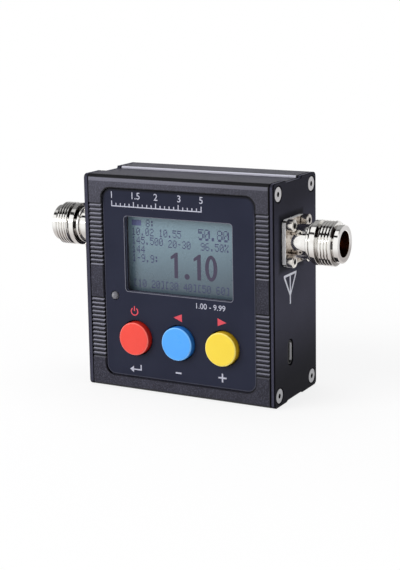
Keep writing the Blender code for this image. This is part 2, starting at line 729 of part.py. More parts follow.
def make_plate_screws(side):
    """Make the four countersunk screws of one end plate."""
    head = PLATE_SCREW_HEAD
    shank = PLATE_SCREW_RADIUS
    rim = PLATE_SCREW_RIM
    cone_end = shank - head - 2 * rim
    profile = [(0.0, -rim), (head, -rim), (head, -2 * rim), (shank, cone_end)]
    profile += [(shank, -PLATE_SCREW_LENGTH), (0.0, -PLATE_SCREW_LENGTH)]
    pattern = turned("screw_pattern", profile, SMALL_STEPS, Matrix.Identity(4))
    key = (PLATE_SCREW_HEX, PLATE_SCREW_HEX_DEPTH, -rim)
    boolean(pattern, hex_cutter(f"{side}_plate_key_cutter", *key))
    places = [side_placement(side, *centre, PLATE_OUTER) for centre in port_centres()]
    copies(numbered(f"{side}_plate_screw"), settle(pattern), places, STEEL)


# Display behind the window

def make_display():
    """Make the gasket, metal bezel, glass, light guide and board of the display."""
    window = rounded_rectangle((0.0, WINDOW_CENTRE_HEIGHT), WINDOW_WIDTH, WINDOW_HEIGHT, WINDOW_RADIUS)
    placement = moved(TO_FRONT, y=GASKET_FRONT + GASKET_THICKNESS / 2)
    edge = rectangle((0.0, WINDOW_CENTRE_HEIGHT), DISPLAY_WIDTH, DISPLAY_HEIGHT)
    outline_solid("display_gasket", [edge, window], GASKET_THICKNESS, placement, FOAM)
    make_bezel()
    inside = BEZEL_SHEET + FIT_GAP
    layers = (
        ("display_glass", GLASS_FRONT, GLASS_THICKNESS, inside, DISPLAY_GLASS),
        ("display_light_guide", BACKLIGHT_FRONT, BACKLIGHT_THICKNESS, inside, WHITE_PLASTIC),
        ("display_board", DISPLAY_BOARD_FRONT, DISPLAY_BOARD_THICKNESS, FIT_GAP, BOARD_RESIST),
    )
    for name, front, thickness, shrink, material in layers:
        centre = (0.0, front + thickness / 2, WINDOW_CENTRE_HEIGHT)
        box(name, centre, (DISPLAY_WIDTH - 2 * shrink, thickness, DISPLAY_HEIGHT - 2 * shrink), material)


def make_bezel():
    """Make the folded metal bezel, open at the back."""
    back = DISPLAY_BOARD_FRONT - FIT_GAP
    half = DISPLAY_WIDTH / 2
    low = WINDOW_CENTRE_HEIGHT - DISPLAY_HEIGHT / 2
    high = WINDOW_CENTRE_HEIGHT + DISPLAY_HEIGHT / 2
    bezel = spanning_box("display_bezel", (-half, BEZEL_FRONT, low), (half, back, high), STEEL)
    sheet = BEZEL_SHEET
    inner_low = (-half + sheet, BEZEL_FRONT + sheet, low + sheet)
    inner_high = (half - sheet, back + CUT_OVERRUN, high - sheet)
    boolean(bezel, spanning_box("bezel_inside_cutter", inner_low, inner_high, cutter=True))
    rim = BEZEL_RIM
    view_low = (-half + rim, BEZEL_FRONT - CUT_OVERRUN, low + rim)
    view_high = (half - rim, BEZEL_FRONT + sheet + CUT_OVERRUN, high - rim)
    boolean(bezel, spanning_box("bezel_view_cutter", view_low, view_high, cutter=True))


# Main board

def spacer_places():
    """Give the X and Z places of the two spacers between the boards."""
    return [(sign * SPACER_ACROSS, SOCKET_LEVEL - SPACER_DROP) for sign in (-1, 1)]


def screw_holes():
    """List the outlines of the spacers' screw holes."""
    return [circle(place, BOARD_SCREW_RADIUS + FIT_GAP, SMALL_STEPS) for place in spacer_places()]


def make_main_board():
    """Make the main board, which slides into the front shell's rails, and its processor."""
    height = CEILING_INNER - FLOOR_INNER - 2 * FIT_GAP
    edge = rectangle((0.0, (CEILING_INNER + FLOOR_INNER) / 2), 2 * BOARD_END, height)
    placement = moved(TO_FRONT, y=MAIN_BOARD_FRONT + MAIN_BOARD_THICKNESS / 2)
    outline_solid("main_board", [edge, *screw_holes()], MAIN_BOARD_THICKNESS, placement, BOARD_RESIST)
    centre = (CHIP_ACROSS, MAIN_BOARD_FRONT - FIT_GAP - CHIP_THICKNESS / 2, CHIP_LEVEL)
    box("processor_chip", centre, (CHIP_SIZE, CHIP_THICKNESS, CHIP_SIZE), BLACK_PLASTIC)


# Push-buttons: cap, stem, switch body and dome

def switch_planes():
    """Work out the Y planes inside a switch, from its front face to its back."""
    back = MAIN_BOARD_FRONT - FIT_GAP
    front = back - SWITCH_HEIGHT
    cavity = front + SWITCH_COVER
    foot_front = cavity + FIT_GAP
    foot_back = foot_front + FOOT_THICKNESS
    dome_front = foot_back + TRAVEL + FIT_GAP
    cavity_back = dome_front + DOME_THICKNESS + FIT_GAP
    return {
        "front": front, "cavity": cavity, "foot_front": foot_front, "foot_back": foot_back,
        "dome_front": dome_front, "cavity_back": cavity_back, "back": back,
    }


def make_switch_body(name, across):
    """Make one switch body, hollow inside and open to the front for the stem."""
    planes = switch_planes()
    middle = (planes["front"] + planes["back"]) / 2
    body = box(name, (across, middle, BUTTON_LEVEL), (SWITCH_SIDE, SWITCH_HEIGHT, SWITCH_SIDE), BLACK_PLASTIC)
    depth = planes["cavity_back"] - planes["cavity"]
    radius = FOOT_RADIUS + FIT_GAP
    profile = [(0.0, depth), (radius, depth), (radius, 0.0), (0.0, 0.0)]
    placement = moved(TO_FRONT, across, planes["cavity_back"], BUTTON_LEVEL)
    boolean(body, turned(name + "_cavity_cutter", profile, SMALL_STEPS, placement, cutter=True))
    side = STEM_SIDE + 2 * FIT_GAP
    low = (across - side / 2, planes["front"] - CUT_OVERRUN, BUTTON_LEVEL - side / 2)
    high = (across + side / 2, planes["foot_front"], BUTTON_LEVEL + side / 2)
    boolean(body, spanning_box(name + "_mouth_cutter", low, high, cutter=True))


def cap_face():
    """Give the Y plane of a cap's front face."""
    return LABEL_FRONT - BUTTON_PROTRUSION


def make_stem(name, across, axis):
    """Make one stem: a square post on a round foot, moving with its cap."""
    planes = switch_planes()
    top = cap_face() + BUTTON_TOP + FIT_GAP
    radius = FOOT_RADIUS
    profile = [(0.0, FOOT_THICKNESS), (radius, FOOT_THICKNESS), (radius, 0.0), (0.0, 0.0)]
    placement = moved(TO_FRONT, across, planes["foot_back"], BUTTON_LEVEL)
    stem = turned(name, profile, SMALL_STEPS, placement, WHITE_PLASTIC)
    post_back = planes["foot_back"] - FOOT_THICKNESS / 2
    low = (across - STEM_SIDE / 2, top, BUTTON_LEVEL - STEM_SIDE / 2)
    high = (across + STEM_SIDE / 2, post_back, BUTTON_LEVEL + STEM_SIDE / 2)
    boolean(stem, spanning_box(name + "_post", low, high, cutter=True), "UNION")
    carry(stem, axis)


def make_cap(name, across, material, axis):
    """Make one cap: a round cup with a boss that holds the stem."""
    face = cap_face()
    radius = BUTTON_RADIUS
    edge = BUTTON_EDGE
    inner = radius - BUTTON_WALL
    profile = [(0.0, 0.0)]
    profile += [(x, y) for x, y in arc((radius - edge, -edge), edge, 90.0, 0.0, ARC_STEPS)]
    profile += [(radius, -BUTTON_LENGTH), (inner, -BUTTON_LENGTH), (inner, -BUTTON_TOP)]
    profile += [(BOSS_RADIUS, -BUTTON_TOP), (BOSS_RADIUS, -BUTTON_TOP - BOSS_LENGTH)]
    profile += [(0.0, -BUTTON_TOP - BOSS_LENGTH)]
    cap = turned(name, profile, ROUND_STEPS, moved(TO_FRONT, across, face, BUTTON_LEVEL), material)
    side = STEM_SIDE + 2 * FIT_GAP
    low = (across - side / 2, face + BUTTON_TOP, BUTTON_LEVEL - side / 2)
    high = (across + side / 2, face + BUTTON_TOP + BOSS_LENGTH + CUT_OVERRUN, BUTTON_LEVEL + side / 2)
    boolean(cap, spanning_box(name + "_socket_cutter", low, high, cutter=True))
    carry(cap, axis)


def carry(item, axis):
    """Parent a piece to an empty without moving it."""
    placement = item.matrix_world.copy()
    item.parent = axis
    item.matrix_parent_inverse = axis.matrix_world.inverted()
    item.matrix_world = placement


def make_buttons():
    """Make the three push-buttons, each on its own axis."""
    for colour, (across, material) in BUTTONS.items():
        axis = bpy.data.objects.new(f"{colour}_button_axis", None)
        PARTS.objects.link(axis)
        axis.matrix_world = Matrix.Translation((across, cap_face(), BUTTON_LEVEL))
        make_switch_body(f"{colour}_switch_body", across)
        make_stem(f"{colour}_switch_stem", across, axis)
        make_cap(f"{colour}_button_cap", across, material, axis)
    make_domes()


def make_domes():
    """Make the spring domes under the three stems."""
    thickness = DOME_THICKNESS
    profile = [(0.0, thickness), (DOME_RADIUS, thickness), (DOME_RADIUS, 0.0), (0.0, 0.0)]
    pattern = turned("dome_pattern", profile, SMALL_STEPS, Matrix.Identity(4))
    back = switch_planes()["dome_front"] + thickness
    names = [f"{colour}_switch_dome" for colour in BUTTONS]
    places = [moved(TO_FRONT, across, back, BUTTON_LEVEL) for across, _ in BUTTONS.values()]
    copies(names, settle(pattern), places, STEEL)


# Indicator lamp

def make_lamp():
    """Make the lamp with its two leads, and the spacer that holds it off the board."""
    tip = LABEL_FRONT - LAMP_PROTRUSION
    radius = LAMP_RADIUS
    flange = -LAMP_LENGTH + LAMP_FLANGE_THICKNESS
    profile = [(0.0, 0.0), *arc((0.0, -radius), radius, 90.0, 0.0, 2 * ARC_STEPS)[1:]]
    profile += [(radius, flange), (LAMP_FLANGE_RADIUS, flange)]
    profile += [(LAMP_FLANGE_RADIUS, -LAMP_LENGTH), (0.0, -LAMP_LENGTH)]
    placement = moved(TO_FRONT, LAMP_ACROSS, tip, LAMP_LEVEL)
    lamp = turned("status_lamp", profile, SMALL_STEPS, placement, LAMP_EPOXY)
    seat = tip + LAMP_LENGTH
    board = MAIN_BOARD_FRONT - FIT_GAP
    for index, sign in enumerate((-1, 1)):
        centre = LAMP_ACROSS + sign * LEAD_SPACING / 2
        low = (centre - LEAD_SIDE / 2, seat - LAMP_FLANGE_THICKNESS, LAMP_LEVEL - LEAD_SIDE / 2)
        high = (centre + LEAD_SIDE / 2, board, LAMP_LEVEL + LEAD_SIDE / 2)
        boolean(lamp, spanning_box(f"lamp_lead_{index}", low, high, cutter=True), "UNION")
    length = board - seat - FIT_GAP
    outer = LAMP_FLANGE_RADIUS
    inner = outer - LAMP_SPACER_WALL
    profile = [(inner, length), (outer, length), (outer, 0.0), (inner, 0.0)]
    placement = moved(TO_FRONT, LAMP_ACROSS, board, LAMP_LEVEL)
    turned("lamp_spacer", profile, SMALL_STEPS, placement, BLACK_PLASTIC, ring=True)


# Charging socket

def make_usb():
    """Make the charging socket's shell, behind the slot in the right plate, and its tongue."""
    mouth = PLATE_OUTER - USB_SETBACK
    centre = (USB_DEPTH, USB_LEVEL)
    sheet = USB_SHEET
    outer = rounded_rectangle(centre, USB_HEIGHT, USB_WIDTH, USB_RADIUS)
    placement = moved(TO_RIGHT, x=mouth - USB_LENGTH / 2)
    shell = outline_solid("usb_shell", [outer], USB_LENGTH, placement, NICKEL)
    inner_size = (USB_HEIGHT - 2 * sheet, USB_WIDTH - 2 * sheet)
    inner = rounded_rectangle(centre, *inner_size, USB_RADIUS - sheet)
    length = USB_LENGTH - sheet + CUT_OVERRUN
    placement = moved(TO_RIGHT, x=mouth + CUT_OVERRUN - length / 2)
    boolean(shell, outline_solid("usb_inside_cutter", [inner], length, placement, cutter=True))
    back = mouth - USB_LENGTH + sheet + FIT_GAP
    low = (back, USB_DEPTH - TONGUE_THICKNESS / 2, USB_LEVEL - TONGUE_WIDTH / 2)
    high = (mouth - TONGUE_SETBACK, USB_DEPTH + TONGUE_THICKNESS / 2, USB_LEVEL + TONGUE_WIDTH / 2)
    spanning_box("usb_tongue", low, high, BLACK_PLASTIC)


# Battery

def make_battery():
    """Make the battery cell, its foam pad, its lead and the plug that the lead ends in."""
    pad_front = MAIN_BOARD_BACK + FIT_GAP
    cell_front = pad_front + BATTERY_PAD_THICKNESS + FIT_GAP
    pad_size = (
        BATTERY_WIDTH - 2 * BATTERY_PAD_MARGIN,
        BATTERY_PAD_THICKNESS,
        BATTERY_HEIGHT - 2 * BATTERY_PAD_MARGIN,
    )
    box("battery_pad", (BATTERY_SHIFT, pad_front + BATTERY_PAD_THICKNESS / 2, BATTERY_LEVEL), pad_size, FOAM)
    section = rounded_rectangle((0.0, 0.0), BATTERY_THICKNESS, BATTERY_HEIGHT, BATTERY_RADIUS)
    placement = moved(TO_RIGHT, BATTERY_SHIFT, cell_front + BATTERY_THICKNESS / 2, BATTERY_LEVEL)
    outline_solid("battery_cell", [section], BATTERY_WIDTH, placement, BATTERY_FILM)
    lead_low = BATTERY_LEVEL + BATTERY_HEIGHT / 2 + FIT_GAP
    radius = BATTERY_LEAD_RADIUS
    length = BATTERY_LEAD_LENGTH
    profile = [(0.0, length), (radius, length), (radius, 0.0), (0.0, 0.0)]
    lead_depth = pad_front + BATTERY_PLUG_THICKNESS / 2
    placement = Matrix.Translation((BATTERY_SHIFT, lead_depth, lead_low))
    turned("battery_lead", profile, SMALL_STEPS, placement, BLACK_PLASTIC)
    plug_level = lead_low + length + FIT_GAP + BATTERY_PLUG_HEIGHT / 2
    plug_size = (BATTERY_PLUG_WIDTH, BATTERY_PLUG_THICKNESS, BATTERY_PLUG_HEIGHT)
    box("battery_plug", (BATTERY_SHIFT, lead_depth, plug_level), plug_size, WHITE_PLASTIC)


# Radio sockets

def thread_profile(start):
    """List the thread's roots and crests, from its outer end down to its starting height."""
    points = []
    root = THREAD_RADIUS - THREAD_DEPTH
    for index in range(THREAD_COUNT - 1, -1, -1):
        low = start + index * THREAD_PITCH
        points.append((root, low + THREAD_PITCH))
        points += [(THREAD_RADIUS, low + THREAD_PITCH * share) for share in THREAD_CREST_SHARES]
    return points + [(root, start)]


def socket_profile():
    """Draw the socket body's section, with heights measured out from the plate's outer face."""
    neck = FACE_GAP + FLANGE_THICKNESS
    step = neck + NECK_LENGTH
    collar = step + STEP_LENGTH
    relief = collar + COLLAR_LENGTH
    thread = relief + RELIEF_LENGTH
    lead_in = thread + THREAD_COUNT * THREAD_PITCH
    mouth = lead_in + LEAD_IN_LENGTH
    shelf = mouth - MOUTH_LENGTH
    middle = neck - FLANGE_THICKNESS / 2
    points = [(MOUTH_RADIUS + MOUTH_CHAMFER, mouth), (LEAD_IN_RADIUS - LEAD_IN_CHAMFER, mouth)]
    points += [(LEAD_IN_RADIUS, mouth - LEAD_IN_CHAMFER), (LEAD_IN_RADIUS, lead_in)]
    points += thread_profile(thread)
    points += [(RELIEF_RADIUS, thread), (RELIEF_RADIUS, relief)]
    points += [(COLLAR_RADIUS, relief), (COLLAR_RADIUS, collar), (STEP_RADIUS, collar), (STEP_RADIUS, step)]
    points += [(NECK_RADIUS, step), (NECK_RADIUS, middle), (SPIGOT_RADIUS, middle)]
    points += [(SPIGOT_RADIUS, -PLATE_THICKNESS), (SHELF_RADIUS, -PLATE_THICKNESS)]
    points += [(SHELF_RADIUS, shelf), (MOUTH_RADIUS, shelf), (MOUTH_RADIUS, mouth - MOUTH_CHAMFER)]
    return points, mouth


def make_socket(side):
    """Make one radio socket: its body, insulating bead and centre contact."""
    profile, mouth = socket_profile()
    placement = side_placement(side, SOCKET_PLANE, SOCKET_LEVEL, PLATE_OUTER)
    body = turned(f"{side}_socket_body", profile, BARREL_STEPS, placement, NICKEL, ring=True)
    edge = rounded_rectangle((0.0, 0.0), FLANGE_SIDE, FLANGE_SIDE, FLANGE_RADIUS)
    signs = ((-1, -1), (-1, 1), (1, -1), (1, 1))
    offset = SOCKET_SCREW_OFFSET
    holes = [circle((x * offset, y * offset), SOCKET_SCREW_HOLE, SMALL_STEPS) for x, y in signs]
    holes.append(circle((0.0, 0.0), (SHELF_RADIUS + SPIGOT_RADIUS) / 2, BARREL_STEPS))
    lifted = placement @ Matrix.Translation((0.0, 0.0, FACE_GAP + FLANGE_THICKNESS / 2))
    flange = outline_solid(f"{side}_flange", [edge, *holes], FLANGE_THICKNESS, lifted, cutter=True)
    boolean(body, flange, "UNION")
    bead_back = -PLATE_THICKNESS - BEAD_REACH
    make_bead(side, placement, bead_back)
    make_contact(side, placement, bead_back, mouth - CONTACT_SETBACK)


def make_bead(side, placement, back):
    """Make the white bead that holds the contact in the socket's body."""
    outer = SHELF_RADIUS - FIT_GAP
    inner = CONTACT_RADIUS + FIT_GAP
    top = back + BEAD_LENGTH
    profile = [(inner, top), (outer, top), (outer, back), (inner, back)]
    turned(f"{side}_socket_bead", profile, SMALL_STEPS, placement, WHITE_PLASTIC, ring=True)


def make_contact(side, placement, back, tip):
    """Make the centre contact, open at its tip, with a thin pin inside the case."""
    bore = CONTACT_BORE_RADIUS
    outer = CONTACT_RADIUS
    profile = [(0.0, tip - CONTACT_BORE_DEPTH), (bore, tip - CONTACT_BORE_DEPTH), (bore, tip), (outer, tip)]
    profile += [(outer, back), (PIN_RADIUS, back), (PIN_RADIUS, back - PIN_LENGTH), (0.0, back - PIN_LENGTH)]
    turned(f"{side}_socket_contact", profile, SMALL_STEPS, placement, GOLD)


def make_socket_screws(side):
    """Make the four cap screws of one radio socket."""
    head = SOCKET_SCREW_HEAD
    edge = SOCKET_SCREW_EDGE
    seat = FACE_GAP + FLANGE_THICKNESS + FACE_GAP
    top = seat + SOCKET_SCREW_HEAD_LENGTH
    radius = SOCKET_SCREW_RADIUS
    profile = [(0.0, top), (head - edge, top), (head, top - edge), (head, seat)]
    profile += [(radius, seat), (radius, -PLATE_THICKNESS), (0.0, -PLATE_THICKNESS)]
    pattern = turned("screw_pattern", profile, SMALL_STEPS, Matrix.Identity(4))
    key = (SOCKET_SCREW_HEX, SOCKET_SCREW_HEX_DEPTH, top)
    boolean(pattern, hex_cutter(f"{side}_socket_key_cutter", *key))
    places = [side_placement(side, *centre, PLATE_OUTER) for centre in socket_screw_places()]
    copies(numbered(f"{side}_socket_screw"), settle(pattern), places, STEEL)


# Through-line board

def make_line_board():
    """Make the board that joins the two sockets, and the shield can on its back, open to the board."""
    half = PLATE_INNER - BEAD_REACH - LINE_BOARD_END_GAP
    edge = rectangle((0.0, SOCKET_LEVEL), 2 * half, LINE_BOARD_HEIGHT)
    placement = moved(TO_FRONT, y=LINE_BOARD_FRONT + LINE_BOARD_THICKNESS / 2)
    outline_solid("line_board", [edge, *screw_holes()], LINE_BOARD_THICKNESS, placement, BOARD_RESIST)
    front = LINE_BOARD_BACK + FIT_GAP
    size = (SHIELD_WIDTH, SHIELD_DEPTH, SHIELD_HEIGHT)
    can = box("line_shield", (0.0, front + SHIELD_DEPTH / 2, SOCKET_LEVEL), size, STEEL)
    sheet = SHIELD_SHEET
    low = (sheet - SHIELD_WIDTH / 2, front - CUT_OVERRUN, SOCKET_LEVEL - SHIELD_HEIGHT / 2 + sheet)
    high = (SHIELD_WIDTH / 2 - sheet, front + SHIELD_DEPTH - sheet, SOCKET_LEVEL + SHIELD_HEIGHT / 2 - sheet)
    boolean(can, spanning_box("shield_inside_cutter", low, high, cutter=True))


def make_spacers():
    """Make the two spacers between the boards and the screws that run through them."""
    front = MAIN_BOARD_BACK + FIT_GAP
    length = LINE_BOARD_FRONT - FIT_GAP - front
    bore = BOARD_SCREW_RADIUS + FIT_GAP
    profile = [(bore, length), (SPACER_RADIUS, length), (SPACER_RADIUS, 0.0), (bore, 0.0)]
    pattern = turned("spacer_pattern", profile, SMALL_STEPS, Matrix.Identity(4), ring=True)
    places = [moved(TO_REAR, x, front, z) for x, z in spacer_places()]
    copies(("left_board_spacer", "right_board_spacer"), settle(pattern), places, NICKEL)
    seat = LINE_BOARD_BACK + FIT_GAP
    shank = seat - MAIN_BOARD_FRONT
    radius = BOARD_SCREW_RADIUS
    head = BOARD_SCREW_HEAD
    top = BOARD_SCREW_HEAD_LENGTH
    profile = [(0.0, top), (head, top), (head, 0.0), (radius, 0.0), (radius, -shank), (0.0, -shank)]
    pattern = turned("screw_pattern", profile, SMALL_STEPS, Matrix.Identity(4))
    places = [moved(TO_REAR, x, seat, z) for x, z in spacer_places()]
    copies(("left_board_screw", "right_board_screw"), settle(pattern), places, STEEL)


make_shells()
make_label()
make_display()
make_main_board()
make_buttons()
make_lamp()
make_usb()
make_battery()
make_line_board()
make_spacers()
for case_side in SIDES:
    make_plate(case_side)
    make_plate_screws(case_side)
    make_socket(case_side)
    make_socket_screws(case_side)
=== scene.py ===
"""Looks of the hand-held standing-wave meter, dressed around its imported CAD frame.

Metres, +Z up, the front facing -Y, the origin at the middle of the meter's underside.
"""

import json
import logging
import math
from dataclasses import dataclass, field
from enum import Enum
from functools import reduce
from typing import Callable, Iterable, Sequence

import bmesh
import bpy
from mathutils import Matrix, Vector

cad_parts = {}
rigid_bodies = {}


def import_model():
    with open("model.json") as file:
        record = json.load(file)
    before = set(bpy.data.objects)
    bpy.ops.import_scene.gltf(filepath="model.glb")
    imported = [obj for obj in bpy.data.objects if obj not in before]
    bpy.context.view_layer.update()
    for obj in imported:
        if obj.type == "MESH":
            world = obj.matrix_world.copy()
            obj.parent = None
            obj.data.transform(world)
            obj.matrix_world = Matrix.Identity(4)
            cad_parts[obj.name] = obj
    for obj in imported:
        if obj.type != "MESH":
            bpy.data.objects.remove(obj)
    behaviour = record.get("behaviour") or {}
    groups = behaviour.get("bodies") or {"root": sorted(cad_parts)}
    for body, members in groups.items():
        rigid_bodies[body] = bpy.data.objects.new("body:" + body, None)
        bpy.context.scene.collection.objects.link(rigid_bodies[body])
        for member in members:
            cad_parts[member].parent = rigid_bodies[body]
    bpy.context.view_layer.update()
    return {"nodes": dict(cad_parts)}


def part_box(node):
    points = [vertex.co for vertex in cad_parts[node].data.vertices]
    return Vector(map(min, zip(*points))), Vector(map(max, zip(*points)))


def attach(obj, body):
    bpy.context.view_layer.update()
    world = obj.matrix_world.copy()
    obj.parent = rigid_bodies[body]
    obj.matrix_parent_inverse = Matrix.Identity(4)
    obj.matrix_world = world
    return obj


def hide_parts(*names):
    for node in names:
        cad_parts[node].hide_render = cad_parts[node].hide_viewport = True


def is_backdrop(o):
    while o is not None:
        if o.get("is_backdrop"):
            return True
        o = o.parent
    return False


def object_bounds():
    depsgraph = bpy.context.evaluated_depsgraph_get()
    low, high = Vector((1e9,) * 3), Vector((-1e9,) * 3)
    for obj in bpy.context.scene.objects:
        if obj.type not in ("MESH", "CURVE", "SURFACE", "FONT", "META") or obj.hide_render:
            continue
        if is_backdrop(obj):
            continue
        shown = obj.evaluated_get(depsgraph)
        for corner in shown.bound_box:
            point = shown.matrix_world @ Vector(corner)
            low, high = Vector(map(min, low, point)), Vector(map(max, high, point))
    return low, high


LOG = logging.getLogger("meter")
MILLIMETRE = 0.001

Point = tuple[float, float]
Tone = tuple[int, int, int]
Radius = float | Callable[[float], float]
Row = tuple[Radius, float]
Triple = tuple[float, float, float]
Socket = bpy.types.NodeSocket
Mesh = bpy.types.Mesh
Outline = tuple[Point, Point, float]

CORNERS = ((-1, -1), (-1, 1), (1, -1), (1, 1))
COLOURS = ("red", "blue", "yellow")
WINDOW_SIZE = (0.0464, 0.0294)
WINDOW_CORNER = 0.0012
WINDOW: Outline = ((0.0, 0.0536), WINDOW_SIZE, WINDOW_CORNER)
SOCKET_AXIS = (-2.95, 61.2)
PORT_MIDDLE = (-4.22, 18.6)
WHITE = (1.0, 1.0, 1.0, 1.0)


class Side(Enum):
    """The two ends of the case, with the sign of their X."""

    LEFT = -1
    RIGHT = 1

    @property
    def word(self) -> str:
        """Give the side's name as it stands in node names."""
        return self.name.lower()

    @property
    def outward(self) -> "Facing":
        """Give the way out of the case on this side."""
        return Facing[self.name]


class Facing(Enum):
    """Ways to lay a shape down: its own Z along an axis, its own Y always up."""

    RIGHT = ((0, 0, 1), (1, 0, 0), (0, 1, 0))
    LEFT = ((0, 0, -1), (-1, 0, 0), (0, 1, 0))
    FRONT = ((1, 0, 0), (0, 0, -1), (0, 1, 0))

    def at(self, x: float, y: float, z: float) -> Matrix:
        """Give the placement with this facing at a point."""
        return Matrix.Translation((x, y, z)) @ Matrix(self.value).to_4x4()


class Key(Enum):
    """What a driver meets in a screw's head."""

    HEX = 6


# Shader graph

def maths(operation: str, turned_round: bool = False) -> Callable[..., "Signal"]:
    """Make a method that joins a signal with another value by one Math node.

    Args:
        operation: The Math node's operation.
        turned_round: Whether the other value comes first.

    Returns:
        The method, which gives the node's output.
    """
    def join(self: "Signal", other: object = 0.0) -> "Signal":
        """Add the node."""
        values = (other, self) if turned_round else (self, other)
        node = self.graph.node("ShaderNodeMath", {"operation": operation}, dict(enumerate(values)))
        return Signal(self.graph, node.outputs[0])

    return join


class Signal:
    """A number that varies over a surface, kept as one output socket."""

    def __init__(self, graph: "Graph", socket: bpy.types.NodeSocket) -> None:
        """Wrap a socket of a graph."""
        self.graph = graph
        self.socket = socket

    __add__ = __radd__ = maths("ADD")
    __sub__ = maths("SUBTRACT")
    __rsub__ = maths("SUBTRACT", True)
    __mul__ = __rmul__ = maths("MULTIPLY")
    __truediv__ = maths("DIVIDE")
    __pow__ = maths("POWER")
    __abs__ = maths("ABSOLUTE")
    fract = maths("FRACT")
    greatest = maths("MAXIMUM")
    least = maths("MINIMUM")

    def band(self, low: float, high: float, soft: float) -> "Signal":
        """Be 1 between two values and 0 outside, with soft ends."""
        return self.span(low - soft, low) * self.span(high + soft, high)

    def span(self, low: float, high: float) -> "Signal":
        """Rise smoothly from 0 at low to 1 at high.

        Args:
            low: Where the rise starts.
            high: Where it ends, which may be below low for a fall.

        Returns:
            The eased signal, between 0 and 1.
        """
        settings = {"interpolation_type": "SMOOTHSTEP"}
        if high < low:
            return 1.0 - self.span(high, low)
        node = self.graph.node("ShaderNodeMapRange", settings, {0: self, 1: low, 2: high})
        return Signal(self.graph, node.outputs[0])


class Graph:
    """The node tree of one material or of the world."""

    def __init__(self, tree: bpy.types.NodeTree) -> None:
        """Start on an emptied tree."""
        self.tree = tree
        tree.nodes.clear()

    def node(self, kind: str, settings: dict | None = None, inputs: dict | None = None) -> bpy.types.Node:
        """Add one node.

        Args:
            kind: The node's type.
            settings: Its own settings, set first.
            inputs: Values or links of its sockets, by name or number.

        Returns:
            The new node.
        """
        made = self.tree.nodes.new(kind)
        for key, value in (settings or {}).items():
            setattr(made, key, value)
        for key, value in (inputs or {}).items():
            self.feed(made.inputs[key], value)
        return made

    def feed(self, socket: Socket, value: object) -> None:
        """Link a signal or socket to a socket, or set its value."""
        if isinstance(value, Signal):
            value = value.socket
        if isinstance(value, Socket):
            self.tree.links.new(value, socket)
        else:
            socket.default_value = value

    def spot(self, stretch: Triple = (1.0, 1.0, 1.0)) -> Socket:
        """Give the place on the piece in millimetres, stretched along its axes."""
        place = self.node("ShaderNodeTexCoord").outputs["Object"]
        factors = tuple(part / MILLIMETRE for part in stretch)
        return self.node("ShaderNodeVectorMath", {"operation": "MULTIPLY"}, {0: place, 1: factors}).outputs[0]

    def parts(self, vector: bpy.types.NodeSocket) -> tuple[Signal, Signal, Signal]:
        """Split a vector into its three numbers."""
        outputs = self.node("ShaderNodeSeparateXYZ", None, {0: vector}).outputs
        return tuple(Signal(self, output) for output in outputs)

    def facing(self) -> tuple[Signal, Signal, Signal]:
        """Give the piece's own surface direction along X, Y and Z."""
        return self.parts(self.node("ShaderNodeTexCoord").outputs["Normal"])

    def noise(self, spot: Socket, scale: float, detail: float = 2.0,
              rough: float = 0.5) -> Signal:
        """Make soft noise, about 0 to 1, with so many grains to the millimetre."""
        inputs = {"Vector": spot, "Scale": scale, "Detail": detail, "Roughness": rough}
        return Signal(self, self.node("ShaderNodeTexNoise", None, inputs).outputs[0])

    def cells(self, spot: Socket, scale: float) -> Signal:
        """Make a pattern of cells, with the distance to each cell's middle."""
        inputs = {"Vector": spot, "Scale": scale}
        return Signal(self, self.node("ShaderNodeTexVoronoi", None, inputs).outputs[0])

    def rays(self, *kinds: str) -> Signal:
        """Be 1 for any of the named kinds of ray."""
        outputs = self.node("ShaderNodeLightPath").outputs
        return reduce(Signal.greatest, [Signal(self, outputs[kind]) for kind in kinds])

    def outline(self, middle: Point, size: Point, radius: float) -> Signal:
        """Give the distance in millimetres from a rounded rectangle in X and Z, less than 0 inside it.

        Args:
            middle: The rectangle's middle, in metres.
            size: Its width and height.
            radius: Its corner radius.

        Returns:
            The distance.
        """
        across, _, up = self.parts(self.spot())
        reach = [(side / 2 - radius) / MILLIMETRE for side in size]
        beside = abs(across - middle[0] / MILLIMETRE) - reach[0]
        above = abs(up - middle[1] / MILLIMETRE) - reach[1]
        corner = (beside.greatest(0.0) ** 2.0 + above.greatest(0.0) ** 2.0) ** 0.5
        return corner + beside.greatest(above).least(0.0) - radius / MILLIMETRE

    def mix(self, share: object, first: object, second: object) -> Socket:
        """Blend two colours.

        Args:
            share: How much of the second shows, 0 to 1.
            first: A tone, a linear colour or a colour socket.
            second: Another one.

        Returns:
            The blended colour's socket.
        """
        first, second = (linear(part) if isinstance(part, tuple) and len(part) == 3 else part
                         for part in (first, second))
        inputs = {0: share, 6: first, 7: second}
        return self.node("ShaderNodeMix", {"data_type": "RGBA"}, inputs).outputs[2]

    def bump(self, height: Signal, depth: float, strength: float = 1.0) -> Socket:
        """Turn a height into a normal, its full depth given in millimetres."""
        inputs = {"Height": height, "Distance": depth * MILLIMETRE, "Strength": strength}
        return self.node("ShaderNodeBump", None, inputs).outputs[0]

    def surface(self, inputs: dict) -> None:
        """Finish a material with one Principled surface."""
        shader = self.node("ShaderNodeBsdfPrincipled", None, inputs)
        self.node("ShaderNodeOutputMaterial", None, {"Surface": shader.outputs[0]})


def linear(tone: Tone) -> tuple[float, float, float, float]:
    """Turn a tone as seen on a screen, 0 to 255, into linear light."""
    parts = [part / 255 for part in tone]
    return (*[part / 12.92 if part <= 0.04045 else ((part + 0.055) / 1.055) ** 2.4 for part in parts], 1.0)


# Finishes

